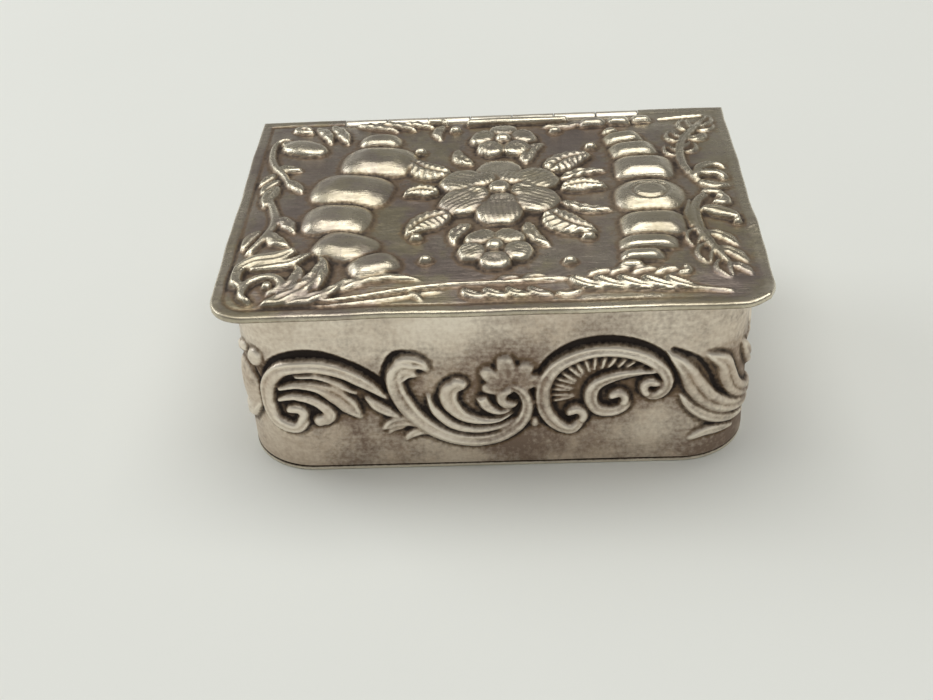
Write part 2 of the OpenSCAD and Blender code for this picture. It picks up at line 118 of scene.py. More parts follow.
# %% The drawing board
class Board:
    """Heights over u (along) and v (across), in millimetres. A board that wraps goes round the box."""

    def __init__(self, u0, u1, v0, v1, wraps=False, step=0.1):
        self.wraps, self.step, self.span = wraps, step, u1 - u0
        self.nu, self.nv = int(round((u1 - u0) / step)), int(round((v1 - v0) / step)) + 1
        self.u = u0 + (u1 - u0) * np.arange(self.nu) / self.nu if wraps else np.linspace(u0, u1, self.nu + 1)
        self.v = np.linspace(v0, v1, self.nv)
        self.h = np.zeros((len(self.v), len(self.u)))
        self.dirt_and_shade = np.zeros_like(self.h)
        self.drift = [np.zeros_like(self.h)] * 2

    def loosen(self, amount, reach, seed):
        """Lets every line drawn from now on stray by up to amount, as a hand does."""
        chance = np.random.default_rng(seed)
        fields = [self.blur(chance.standard_normal(self.h.shape), reach) for _ in range(2)]
        self.drift = [amount * f / np.abs(f).max() for f in fields]

    def press(self, shape, layer="h", how=np.maximum):
        """shape is (lowest u, lowest v, highest u, highest v, height function)."""
        u0, v0, u1, v1, height = shape
        target = getattr(self, layer)
        for shift in ((-self.span, 0, self.span) if self.wraps else (0,)):
            cols = np.where((self.u >= u0 + shift) & (self.u <= u1 + shift))[0]
            rows = np.where((self.v >= v0) & (self.v <= v1))[0]
            if len(cols) and len(rows):
                patch = slice(rows[0], rows[-1] + 1), slice(cols[0], cols[-1] + 1)
                U, V = np.meshgrid(self.u[patch[1]] - shift, self.v[patch[0]])
                found = height(U + self.drift[0][patch], V + self.drift[1][patch])
                target[patch] = how(target[patch], found)

    def blur(self, field, reach):
        """Averages field over about reach millimetres."""
        n = max(int(3 * reach / self.step), 1)
        kernel = np.exp(-0.5 * (np.arange(-n, n + 1) * self.step / reach) ** 2)
        kernel /= kernel.sum()
        wide = np.pad(field, ((0, 0), (n, n)), mode="wrap" if self.wraps else "edge")
        field = sum(k * wide[:, i:i + field.shape[1]] for i, k in enumerate(kernel))
        tall = np.pad(field, ((n, n), (0, 0)), mode="edge")
        return sum(k * tall[i:i + field.shape[0]] for i, k in enumerate(kernel))

    def read(self, field, u, v):
        """The value of field at points u, v, smoothly between the board's own points."""
        a = (np.asarray(u, float) - self.u[0]) / (self.u[1] - self.u[0])
        b = np.clip((np.asarray(v, float) - self.v[0]) / (self.v[1] - self.v[0]), 0, self.nv - 1.001)
        last = len(self.u)
        if not self.wraps:
            a = np.clip(a, 0, last - 1.001)
        i, j = np.floor(a).astype(int), np.floor(b).astype(int)
        fa, fb = a - i, b - j
        i, i2 = i % last, (i + 1) % last
        low = field[j, i] * (1 - fa) + field[j, i2] * fa
        high = field[j + 1, i] * (1 - fa) + field[j + 1, i2] * fa
        return low * (1 - fb) + high * fb


# %% [markdown]
# ## The punches
# A smith has a few dozen punches and makes every motif from them. This drawing needs fewer: a rib that
# follows a line, a leaf with a vein, a dome, a pillow, and a ribbed petal. Each returns the patch it touches and a
# function that gives its height there.

# %% Lines and distances
def smooth_line(points, steps=6):
    """A Catmull-Rom line through the points."""
    p = np.array(points, float)
    p = np.vstack([2 * p[0] - p[1], p, 2 * p[-1] - p[-2]])
    t = np.arange(steps)[:, None] / steps
    out = [0.5 * (2 * b + (c - a) * t + (2 * a - 5 * b + 4 * c - d) * t**2 + (3 * b - a - 3 * c + d) * t**3)
           for a, b, c, d in zip(p, p[1:], p[2:], p[3:])]
    return np.vstack(out + [p[-2:-1]])


def beside(U, V, line):
    """For each point its distance from the line, the side it is on and how far along the line it lies."""
    p = np.stack([U.ravel(), V.ravel()], 1)
    ways = np.diff(line, axis=0)
    lengths = np.maximum(np.hypot(*ways.T), 1e-6)
    starts = np.concatenate([[0], np.cumsum(lengths)])
    near, share, side = np.full(len(p), 1e9), np.zeros(len(p)), np.ones(len(p))
    for a, way, length, start in zip(line, ways, lengths, starts):
        t = np.clip((p - a) @ way / length**2, 0, 1)
        off = p - a - t[:, None] * way
        far = np.hypot(*off.T)
        pick = far < near
        near[pick] = far[pick]
        share[pick] = ((start + t * length) / starts[-1])[pick]
        side[pick] = np.sign(way[0] * off[:, 1] - way[1] * off[:, 0])[pick]
    return [a.reshape(U.shape) for a in (near, side, share)]


def soft_step(value):
    """0 below 0 and 1 above 1, with a smooth passage between them."""
    value = np.clip(value, 0, 1)
    return value**2 * (3 - 2 * value)


def ends(share, start, end):
    """Rises from 0 to 1 over the first part of a line and falls again over the last."""
    up = np.clip(share / max(start, 1e-3), 0, 1)
    down = np.clip((1 - share) / max(end, 1e-3), 0, 1)
    return np.sqrt(np.sin(np.pi / 2 * up) * np.sin(np.pi / 2 * down))


# %% The punches themselves
def rib(points, widths, height, crease=0.0, start=0.05, end=0.16, fullness=0.34):
    """A raised band along a line. crease cuts a groove that follows its inner edge."""
    line = smooth_line(points)
    reach = max(widths)
    stops = np.linspace(0, 1, len(widths))

    def shape(U, V):
        near, side, share = beside(U, V, line)
        q = near / (np.interp(share, stops, widths) / 2)
        rise = np.clip(1 - q**2.4, 0, 1) ** fullness * ends(share, start, end)
        groove = crease * np.exp(-((q * side - 0.3) / 0.2) ** 2)
        return height * rise * (1 - groove)

    return (*(line.min(0) - reach), *(line.max(0) + reach), shape)


def curl(at, radius, height, start, turn=-1, aspect=1.0):
    """The eye of a volute: a short spiral rib that winds in to the point at. turn is 1 for anticlockwise."""
    a = np.radians(start) + turn * np.linspace(0, 1.3 * np.pi, 9)
    r = radius * np.linspace(1, 0.22, 9)
    points = np.stack([at[0] + r * np.cos(a), at[1] + aspect * r * np.sin(a)], 1)
    return rib(points, [0.85 * radius, 1.15 * radius, 1.45 * radius], height, 0, 0.02, 0.02)


def leaf(points, width, height, veins=0, cut=0.35):
    """A pointed leaf along a line, with a sunk midrib and slanting side veins."""
    line = smooth_line(points)

    def shape(U, V):
        near, side, share = beside(U, V, line)
        half = width / 2 * np.sin(np.pi * np.clip(share, 0.02, 1) ** 0.8) ** 0.8 + 0.02
        q = near / half
        body = np.clip(1 - q**2, 0, 1) ** 0.55 * ends(share, 0.1, 0.1)
        midrib = cut * np.exp(-(near / (0.09 + 0.05 * width)) ** 2)
        slant = 0.5 + 0.5 * np.cos(2 * np.pi * (veins * share + 0.9 * q)) if veins else 0
        return height * body * (1 - midrib) * (1 - 0.3 * slant * np.clip(q * 2, 0, 1))

    return (*(line.min(0) - width), *(line.max(0) + width), shape)


def turned(U, V, at, angle):
    a = np.radians(angle)
    x, y = U - at[0], V - at[1]
    return x * np.cos(a) + y * np.sin(a), y * np.cos(a) - x * np.sin(a)


def hollow_leaf(points, width, height):
    """A leaf drawn by its raised rim alone, round a sunk middle that holds the dirt."""
    line = smooth_line(points)

    def shape(U, V):
        near, side, share = beside(U, V, line)
        half = width / 2 * np.sin(np.pi * np.clip(share, 0.02, 1) ** 0.8) ** 0.8 + 0.02
        rim = np.exp(-(((near / half - 0.74) / 0.24) ** 2))
        return height * (rim - 0.12 * (near < 0.5 * half)) * ends(share, 0.05, 0.05)

    return (*(line.min(0) - width), *(line.max(0) + width), shape)


def dome(at, half_l, half_w, height, angle=0, squareness=2.2, fullness=0.5, dimple=0.0, rings=0):
    """A pillow or a ball: square shoulders give a gadroon, round ones a berry."""
    reach = 1.5 * max(half_l, half_w)

    def shape(U, V):
        x, y = turned(U, V, at, angle)
        q = (np.abs(x / half_l) ** squareness + np.abs(y / half_w) ** squareness) ** (1 / squareness)
        rise = np.clip(1 - q**2.6, 0, 1) ** fullness
        rise *= 1 - dimple * np.exp(-(q / 0.3) ** 2)
        if rings:
            rise *= 1 - 0.16 * np.exp(-((q - 0.55) / 0.07) ** 2)
        return height * rise

    return (at[0] - reach, at[1] - reach, at[0] + reach, at[1] + reach, shape)


def pillow(at, half_l, half_w, height, angle=0, squareness=2.8, bevel=0.62, ring=0.0):
    """A gadroon: a nearly flat top with broad falling sides. ring chases an oval line into the top."""
    reach = 1.5 * max(half_l, half_w)

    def shape(U, V):
        x, y = turned(U, V, at, angle)
        q = (np.abs(x / half_l) ** squareness + np.abs(y / half_w) ** squareness) ** (1 / squareness)
        t = np.clip((1 - q) / bevel, 0, 1)
        top = 0.9 + 0.1 * (1 - np.clip(q, 0, 1) ** 2) - 0.05 * y / half_w
        line = ring * np.exp(-((np.hypot(x / half_l, y / half_w) - 0.46) / 0.07) ** 2)
        return height * (1 - (1 - t) ** 1.9) * top * (1 - line)

    return (at[0] - reach, at[1] - reach, at[0] + reach, at[1] + reach, shape)


def petal(at, length, width, height, angle, ribs=5):
    """A petal that points away from at, scooped near its tip and ribbed along its length."""
    reach = 1.2 * max(length, width)

    def shape(U, V):
        x, y = turned(U, V, at, angle)
        t = np.clip(x / length, 0, 1)
        half = width / 2 * np.sin(np.pi * (0.12 + 0.8 * t) ** 1.25) ** 0.7 + 0.01
        q = np.abs(y) / half
        inside = (x > 0) & (x < length)
        rise = np.clip(1 - q**2.6, 0, 1) ** 0.5 * np.sqrt(np.clip(np.sin(np.pi * np.clip(t, 0.06, 0.985)), 0, 1))
        scoop = 0.22 * np.exp(-(((t - 0.6) / 0.24) ** 2) - (q / 0.55) ** 2)
        comb = 0.5 + 0.5 * np.cos(2 * np.pi * (ribs * y / width + 0.35 * np.sin(4 * t)))
        return np.where(inside, height * rise * (1 - scoop - 0.13 * comb * np.clip(t * 3, 0, 1)), 0)

    return (at[0] - reach, at[1] - reach, at[0] + reach, at[1] + reach, shape)


print("punches: rib, leaf, dome, pillow, petal")

# %% [markdown]
# ## The frieze on the walls
# Round the walls runs a band of acanthus scrolls: broad ribs that curl into small balls, with leaf fingers
# that spring from their inner side. The lines are drawn on the unrolled wall. s is the distance round the
# wall from the middle of the front, and z the height above the table.

# %% Draw the front scrolls
wall = Board(-girth / 2, girth / 2, 0, mouth_z, wraps=True)
wall.loosen(0.14, 0.7, 3)
scroll_h = 0.6

left_scroll = [
    rib([(-16.0, 6.0), (-16.9, 4.9), (-18.6, 5.4), (-19.2, 7.0), (-19.0, 9.0), (-17.6, 10.8), (-15.3, 11.3),
         (-12.9, 10.8), (-10.8, 9.5), (-8.8, 7.6)], [1.0, 1.4, 1.5, 1.35, 1.3, 1.25, 0.35], 1, 0.3),
    rib([(-16.6, 10.2), (-14.8, 10.3), (-13.2, 9.6), (-11.4, 8.2)], [0.2, 0.65, 0.75, 0.2], 0.75, 0.25),
    rib([(-18.2, 8.8), (-16.4, 9.4), (-14.6, 9.1), (-13.2, 8.2), (-12.1, 6.9), (-11.2, 5.6)],
        [0.4, 0.7, 1.1, 1.8, 1.7, 0.25], 0.9, 0.35),
    rib([(-18.3, 7.6), (-16.9, 8.2), (-15.5, 7.9), (-14.4, 7.1), (-13.9, 6.1), (-14.6, 5.4)],
        [0.4, 0.7, 0.85, 1.0, 1.1, 0.9], 0.85, 0.25, end=0.05),
    curl((-16.8, 6.5), 0.85, 0.95, -70, 1), dome((-14.7, 5.7), 0.75, 0.6, 0.8, 20, 2.4, 0.35),
    rib([(-10.8, 8.1), (-9.9, 7.0), (-8.9, 6.3), (-7.9, 5.8)], [0.3, 1.0, 1.0, 0.3], 0.7, 0.3)]
middle_scroll = [
    rib([(-6.2, 10.6), (-7.4, 11.1), (-8.2, 10.4), (-8.2, 9.0), (-7.6, 7.2), (-6.6, 5.6), (-5.2, 4.3),
         (-3.4, 3.4), (-1.4, 3.1), (0.6, 3.6), (2.2, 5.0), (2.8, 6.8), (2.2, 8.3), (1.1, 8.5), (0.5, 7.6)],
        [1.1, 1.5, 1.6, 1.4, 1.3, 1.25, 1.15, 1.05, 0.9], 1, 0.32),
    rib([(-5.6, 8.1), (-5.2, 6.6), (-4.3, 5.3), (-3.0, 4.5), (-1.2, 4.2), (0.8, 4.7), (1.9, 5.6)],
        [0.25, 0.85, 0.9, 0.75, 0.65, 0.3], 0.75, 0.25),
    rib([(-2.6, 9.1), (-3.6, 8.6), (-3.8, 7.3), (-3.0, 6.0), (-1.7, 5.3), (0.0, 5.2), (1.6, 5.9)],
        [1.2, 1.65, 1.5, 1.1, 0.75, 0.5, 0.25], 0.92, 0.3),
    rib([(-1.1, 7.7), (-0.7, 6.7), (0.3, 6.1), (1.5, 6.3)], [1.0, 1.0, 0.7, 0.25], 0.8, 0.2),
    curl((1.3, 7.4), 0.95, 0.98, 80, 1), leaf([(-8.3, 10.4), (-7.4, 11.4), (-6.0, 11.2), (-5.3, 10.3)], 1.5, 0.95, 0, 0.5),
    leaf([(-8.2, 9.3), (-7.2, 10.2), (-6.2, 9.9)], 0.9, 1.0, 0, 0.5), dome((-2.9, 9.1), 0.75, 0.6, 0.9, -30, 2.4, 0.35),
    leaf([(-6.4, 4.7), (-7.4, 5.3), (-8.6, 5.2), (-9.7, 4.4)], 1.35, 0.72), leaf([(-7.4, 4.9), (-8.6, 4.6), (-9.2, 3.9)], 0.8, 0.6),
    leaf([(-5.4, 3.9), (-6.3, 4.2), (-7.2, 3.8), (-7.8, 3.1)], 0.95, 0.66)]
right_scroll = [
    rib([(7.2, 4.9), (6.4, 4.1), (5.2, 4.6), (4.2, 6.2), (4.1, 8.4), (4.9, 10.2), (6.5, 11.4), (8.8, 12.0),
         (11.2, 11.7), (13.2, 10.7), (14.3, 9.2), (14.1, 7.9), (13.2, 7.3), (12.4, 7.8)],
        [0.9, 1.3, 1.4, 1.3, 1.2, 1.15, 1.15, 1.1, 0.9], 1, 0.32),
    rib([(13.7, 9.8), (12.2, 9.8), (10.2, 9.5), (8.6, 8.7), (8.0, 7.4), (8.4, 6.2), (9.5, 5.8), (10.7, 6.2),
         (11.0, 7.0)], [0.3, 0.7, 0.95, 1.15, 1.25, 1.15, 1.05, 0.9], 0.9, 0.28),
    curl((6.7, 5.6), 0.85, 0.95, -60, 1), curl((13.1, 8.3), 0.85, 0.95, -110, -1),
    curl((10.2, 7.2), 0.8, 0.9, -60, 1), dome((3.3, 4.9), 0.4, 0.65, 0.45)]

# Short fins spring from the inner side of the right scroll, along its whole arc.
arc = smooth_line([(4.9, 6.7), (4.8, 8.2), (5.4, 9.6), (6.8, 10.9), (8.8, 11.4), (11.0, 11.1), (12.8, 10.3)], 5)
fins = []
for k, p in enumerate(arc[1::2]):
    inward = np.array([8.8, 8.0]) - p
    inward /= np.linalg.norm(inward)
    lean = np.array([inward[1], -inward[0]]) * (0.25 if k % 2 else 0.12)
    fins.append(rib([p, p + 0.9 * inward + 0.5 * lean, p + (1.9 - 0.05 * k) * inward + lean],
                    [0.34, 0.36, 0.12], 0.4, start=0.02))
frill = []
for a, reach, w in ((172, 1.15, 0.62), (138, 1.45, 0.8), (100, 1.6, 0.85), (62, 1.4, 0.78), (28, 1.3, 0.66)):
    way = np.array([np.cos(np.radians(a)), np.sin(np.radians(a))])
    p = np.array([1.5, 8.2])
    frill.append(dome(p + 1.25 * reach * way, reach, w, 0.72 - 0.05 * (a % 3), a, 2.6, 0.4, 0.25))
print("front:", len(left_scroll + middle_scroll + right_scroll + fins + frill), "punch marks")

# %% [markdown]
# Leaves wrap round the upright corners and tie one wall to the next. The left corner carries a broad leaf
# with a bud over it. The back repeats the front and the left side repeats the right, half a turn on, as a
# strip of rolled ornament would.

# %% Draw the corner leaves and the side scroll
corner_leaves = [
    leaf([(14.3, 11.7), (15.8, 9.9), (16.9, 7.8), (18.4, 6.0), (20.8, 4.6), (24.2, 3.8)], 2.0, 0.95),
    leaf([(17.5, 11.2), (19.2, 9.8), (19.9, 8.0), (20.9, 6.3), (23.0, 5.0), (26.0, 4.6)], 1.9, 0.9),
    leaf([(15.4, 7.5), (16.5, 5.9), (18.0, 4.6), (20.4, 3.5), (23.0, 3.0)], 1.1, 0.75),
    leaf([(16.2, 2.4), (17.6, 3.0), (19.4, 2.8), (21.0, 2.3)], 1.0, 0.6),
    leaf([(21.8, 10.6), (22.8, 9.0), (24.4, 7.4), (27.2, 6.4)], 1.5, 0.8),
    leaf([(24.6, 10.2), (25.9, 9.0), (28.2, 8.0)], 1.0, 0.6)]
left_corner = [
    dome((-22.4, 7.4), 2.4, 2.5, 0.8, 25, 2.0, 0.6),
    leaf([(-20.2, 6.6), (-22.4, 4.6), (-25.2, 3.6), (-28.2, 3.4)], 1.7, 0.75),
    leaf([(-24.0, 7.8), (-26.4, 6.0), (-29.0, 5.2)], 1.6, 0.8),
    dome((-20.4, 11.1), 1.0, 0.8, 0.65, 50, 2.0), dome((-22.2, 11.3), 0.8, 0.5, 0.5, 20),
    leaf([(-23.4, 10.8), (-25.2, 9.6), (-27.6, 9.0)], 1.2, 0.65)]
side_move = 36.1
side_lines = [
    ([(-7.0, 10.7), (-8.2, 11.2), (-9.2, 10.0), (-8.8, 7.8), (-7.0, 5.4), (-4.4, 3.8), (-1.4, 3.1), (1.6, 3.7),
      (3.4, 5.4), (3.7, 7.3), (2.6, 8.5), (1.3, 8.3), (0.9, 7.4)], [1.1, 1.3, 1.2, 1.1, 1.0, 0.95], 1),
    ([(-6.4, 8.1), (-5.4, 6.0), (-3.2, 4.6), (-0.6, 4.3), (1.8, 5.0)], [0.3, 0.75, 0.7, 0.3], 0.75),
    ([(-3.0, 9.4), (-4.4, 8.6), (-4.4, 6.9), (-2.7, 5.5), (0.6, 5.3)], [1.2, 1.5, 1.1, 0.3], 0.92),
    ([(-1.5, 7.7), (-0.5, 6.4), (1.9, 6.2)], [1.0, 0.9, 0.3], 0.8),
    ([(5.6, 4.6), (5.0, 6.8), (5.6, 9.2), (7.4, 10.9)], [0.4, 0.9, 0.9, 0.3], 0.8)]


def moved(shape, move):
    u0, v0, u1, v1, height = shape
    return (u0 + move, v0, u1 + move, v1, lambda U, V: height(U - move, V))


side_scroll = [rib([(s + side_move, z) for s, z in line], widths, h, 0.12) for line, widths, h in side_lines]
side_scroll += [dome((2.0 + side_move, 7.3), 0.95, 0.9, 0.98, fullness=0.45),
                dome((side_move - 3.4, 9.4), 0.75, 0.65, 0.9), dome((side_move - 7.9, 10.7), 0.95, 0.75, 0.95, -20)]
side_scroll += [petal((side_move + 2.0, 8.9), 2.4, 0.95, 0.62, a, 2) for a in (160, 132, 104, 76, 48)]
frieze = left_scroll + middle_scroll + right_scroll + fins + frill + corner_leaves + left_corner + side_scroll
for half in (0, girth / 2):
    for shape in frieze:
        wall.press(moved(shape, half))
wall.h *= scroll_h
print(f"{2 * len(frieze)} punch marks, highest {wall.h.max():.2f} mm")

# %% [markdown]
# Round each scroll the smith sets the ground back with a lining punch, which leaves a sharp groove where
# dirt and sulphide gather; the groove is also darkened as painted shade. Two passes do that here: the lines
# above the big scrolls are pressed in as ribs below zero, and then every foot is sharpened by taking the
# blurred relief away from the relief itself.

# %% Line the scrolls and sharpen their feet
wall.drift = [0.3 * f for f in wall.drift]
lining = [
    rib([(-19.6, 9.9), (-18.4, 11.4), (-16.4, 12.3), (-14.2, 12.2), (-11.8, 11.2), (-9.9, 9.9), (-8.9, 8.8)],
        [0.31, 0.62, 0.78, 0.78, 0.62, 0.55, 0.39], 1),
    rib([(-9.1, 8.2), (-9.1, 10.2), (-8.1, 12.0), (-6.6, 12.0)], [0.31, 0.47, 0.70, 0.47], 1),
    rib([(3.6, 9.6), (4.9, 11.4), (6.9, 12.6), (9.4, 13.0), (11.8, 12.6), (13.8, 11.5), (15.0, 10.0)],
        [0.39, 0.55, 0.70, 0.70, 0.62, 0.47, 0.31], 1),
    rib([(14.6, 11.9), (16.8, 10.8), (18.0, 9.0), (18.8, 7.0), (20.2, 5.4), (22.5, 4.4)], [0.39, 0.39, 0.35, 0.31], 0.8),
    rib([(15.6, 6.9), (17.2, 5.2), (19.4, 4.1), (22.5, 3.3)], [0.39, 0.39, 0.31, 0.23], 0.8),
    rib([(-20.8, 9.9), (-20.0, 8.4), (-19.9, 6.4), (-21.2, 4.9)], [0.31, 0.31, 0.31, 0.23], 0.7),
    rib([(side_move - 9.9, 8.6), (side_move - 9.4, 11.2), (side_move - 7.4, 12.0)], [0.39, 0.55, 0.39], 0.9)]
for half in (0, girth / 2):
    for shape in lining:
        wall.press(moved(shape, half), "dirt_and_shade")
rng = np.random.default_rng(7)
raised = wall.h.copy()
dents = wall.blur(rng.standard_normal(wall.h.shape), 1.6)
grain = wall.blur(rng.standard_normal(wall.h.shape), 0.16)
wall.h -= 0.22 * wall.dirt_and_shade * np.clip(1 - raised / 0.2, 0, 1)
wall.h += 0.34 * (wall.h - wall.blur(wall.h, 0.26))
wall.h += 0.05 * dents / np.abs(dents).max() + 0.012 * grain / np.abs(grain).max() * (1 + (raised > 0.1))
away = np.clip((np.abs(wall.u) - 26.5) / 2, 0, 1)
wall.h = wall.blur(wall.h, 0.08) * (1 - away) + wall.blur(wall.h, 0.13) * away
wall.h = np.clip(wall.h, -0.2, 0.72)
print(f"relief from {wall.h.min():.2f} to {wall.h.max():.2f} mm")

# %% [markdown]
# Tarnish follows the shape: it stays in hollows and wears off crests. So the drawing also gives each point
# of the mesh four numbers for the materials to read: how deep it lies in a hollow, how much it stands out
# as a crest, whether it is ornament or ground, and how near to ornament it is, where no cloth reaches.

# %% Hollows, crests and ornament
def wear_fields(board, raised, reach, depth):
    soft = board.blur(board.h, reach)
    wide = board.blur(board.h, reach * 3)
    hollow = np.clip((soft - board.h) / depth, 0, 1) * 0.75 + np.clip((wide - board.h) / (depth * 1.6), 0, 1) * 0.35
    # Pressed grooves go dark in full: dirt in them, and on the walls painted shade above the big scrolls.
    hollow = np.clip(hollow + 0.9 * board.dirt_and_shade * np.clip(1 - raised / 0.25, 0, 1), 0, 1)
    crest = np.clip((board.h - soft) / depth, 0, 1)
    ornament = np.clip(raised / 0.22, 0, 1)
    stain = np.clip(1.6 * board.blur(ornament, 1.3), 0, 1) * (1 - ornament)
    return {"hollow": board.blur(hollow, 0.085), "crest": crest, "ornament": ornament, "stain": stain}


wall_fields = wear_fields(wall, raised, 0.26, 0.13)
for name, field in wall_fields.items():
    print(f"wall {name}: mean {field.mean():.2f}")

# %% [markdown]
# ## The drawing on the lid
# The lid has a flat border and, a little higher, a panel crowded with ornament: a chain of pillow-like
# gadroons down each side, leafy sprays in the margins, and flowers in the middle. x runs along the front
# edge from the middle, y from the front edge to the back. A pillow is a dome with square shoulders.

# %% Press the gadroons
lid = Board(-lid_w / 2, lid_w / 2, 0, lid_d)
lid.loosen(0.3, 0.9, 12)
gadroons = [
    (-10.6, 29.3, 2.1, 1.35, 0, 0.75), (-10.4, 25.1, 3.65, 3.0, -6, 1), (-12.6, 19.7, 3.9, 3.0, -13, 1),
    (-13.5, 14.4, 3.2, 2.75, -5, 0.95), (-12.3, 9.7, 2.95, 2.4, -24, 0.9), (-9.7, 6.6, 2.3, 1.75, 24, 0.8),
    (11.4, 29.9, 0.85, 0.6, 30, 0.45), (12.5, 28.3, 1.95, 1.15, 15, 0.7), (13.3, 25.8, 2.3, 1.5, 10, 0.8),
    (14.0, 22.2, 2.85, 2.2, 0, 0.98), (14.0, 11.9, 2.95, 2.15, 0, 0.98), (13.3, 8.9, 2.6, 1.1, 0, 0.7),
    (12.6, 7.0, 1.9, 0.8, 0, 0.6), (11.6, 5.6, 1.1, 0.5, 0, 0.45),
    (9.9, 32.1, 1.5, 0.95, 0, 0.65), (12.4, 32.3, 1.25, 0.85, 0, 0.62), (14.6, 32.7, 1.05, 0.75, 8, 0.5)]
lid_marks = [pillow(g[:2], g[2], g[3], 1.05 * g[5], g[4], 4.2 if g[0] > 12 else 3.0) for g in gadroons]
lid_marks.append(pillow((14.1, 16.95), 3.3, 3.0, 1.05, 0, 2.6, ring=0.16))
lid_marks.append(rib([(-2.4, 33.1), (0.2, 33.25), (4.0, 33.25), (7.6, 33.1)], [1.0, 1.2, 1.0], 0.62, start=0.04, end=0.04))
print("gadroons:", len(gadroons) + 1)

# %% [markdown]
# The margins hold thin stems with paired leaves. A stem is a narrow rib, and its leaves are set beside it at
# given places.

# %% Press the sprays in the margins
def stem(points, width=0.45, height=0.34):
    return rib(points, [width * 0.7, width, width * 0.6], height, start=0.03, end=0.08)


left_margin = [
    stem([(-18.3, 21.0), (-19.2, 23.2), (-20.4, 25.6), (-21.0, 28.2), (-20.8, 30.4), (-19.6, 31.4)], 0.8, 0.42),
    stem([(-20.3, 19.6), (-19.5, 17.0), (-19.0, 14.6), (-19.5, 12.4), (-20.8, 9.6)], 0.95, 0.45),
    dome((-17.9, 28.6), 2.5, 1.35, 0.8, -28, 2.2), leaf([(-20.4, 30.2), (-19.2, 29.6), (-17.2, 27.0)], 1.5, 0.55),
    leaf([(-17.2, 33.5), (-16.0, 31.6), (-15.4, 29.5)], 1.3, 0.55, 3), leaf([(-15.7, 33.6), (-14.6, 31.7), (-13.7, 29.3)], 1.5, 0.62, 3),
    rib([(-17.4, 32.3), (-18.4, 32.5), (-19.2, 33.1), (-18.5, 33.6), (-17.7, 33.1)], [0.5, 0.8, 0.7], 0.45),
    leaf([(-19.9, 25.4), (-18.9, 24.6), (-17.6, 24.2)], 1.25, 0.55), leaf([(-20.1, 23.9), (-20.9, 23.1), (-21.4, 21.9)], 0.95, 0.45),
    leaf([(-19.5, 22.6), (-20.6, 21.6), (-21.0, 20.2)], 1.1, 0.5), leaf([(-18.9, 22.3), (-17.9, 21.2), (-17.2, 19.8)], 1.2, 0.5),
    leaf([(-19.5, 21.4), (-20.2, 19.6), (-20.4, 17.6)], 1.6, 0.62), leaf([(-19.1, 15.4), (-18.0, 14.4), (-17.0, 12.6)], 1.5, 0.6, 3),
    leaf([(-19.6, 13.0), (-18.6, 11.5), (-17.2, 10.2)], 1.6, 0.62, 3), leaf([(-20.0, 13.4), (-20.9, 12.2), (-21.4, 10.4)], 1.2, 0.5),
    rib([(-16.4, 9.3), (-18.0, 8.3), (-19.8, 8.2), (-21.0, 7.1), (-21.2, 5.4), (-20.3, 4.1)],
        [0.6, 1.7, 1.7, 1.2, 1.2, 0.9], 0.78, 0.25),
    leaf([(-20.4, 7.0), (-18.6, 7.2), (-16.6, 7.6), (-14.9, 8.9)], 1.5, 0.6),
    rib([(-19.4, 1.9), (-20.3, 3.0), (-20.0, 4.7), (-18.6, 5.4), (-17.3, 4.7), (-17.3, 3.5), (-18.3, 3.1)],
        [0.5, 0.75, 0.9, 0.95, 0.85, 0.7], 0.6, 0.15),
    leaf([(-18.6, 1.7), (-16.4, 2.4), (-14.6, 4.2), (-13.9, 7.0), (-14.5, 8.3)], 2.1, 0.8, 5),
    leaf([(-18.2, 1.5), (-15.2, 1.9), (-12.9, 3.2), (-11.6, 5.0)], 1.3, 0.62, 4),
    leaf([(-17.4, 2.4), (-16.2, 4.2), (-15.8, 6.0), (-16.4, 7.2)], 1.5, 0.66, 3),
    dome((-18.3, 4.1), 0.5, 0.5, 0.55)]
right_margin = [
    rib([(18.9, 19.6), (18.0, 21.6), (17.6, 24.2), (17.9, 27.2), (19.2, 30.0), (20.4, 32.2)], [0.6, 0.85, 0.8, 0.5], 0.42, 0.55),
    rib([(19.2, 17.4), (18.1, 15.8), (17.7, 13.2), (17.9, 10.8), (18.6, 8.2), (19.8, 5.4)], [0.6, 1.0, 0.95, 0.5], 0.45, 0.55),
    rib([(17.5, 16.2), (17.0, 13.6), (17.2, 11.2)], [0.3, 0.6, 0.3], 0.32), stem([(16.2, 33.0), (18.6, 33.4), (20.8, 33.8)], 0.4, 0.25),
    rib([(18.3, 20.4), (19.2, 21.2), (20.6, 21.3), (21.3, 20.4)], [0.5, 1.1, 0.8], 0.55, 0.3),
    leaf([(18.6, 20.8), (19.2, 22.4), (20.6, 23.2), (21.6, 22.6)], 0.9, 0.5), leaf([(18.7, 19.6), (20.0, 18.9), (21.5, 19.2)], 1.2, 0.55),
    leaf([(18.7, 17.6), (19.8, 17.9), (20.9, 17.4)], 0.9, 0.5), curl((20.1, 16.2), 0.85, 0.55, 100, -1),
    leaf([(18.2, 14.2), (19.4, 14.2), (20.8, 13.5), (21.5, 12.6)], 1.7, 0.75, 0, 0.2), dome((21.2, 12.5), 0.4, 0.35, 0.6)]
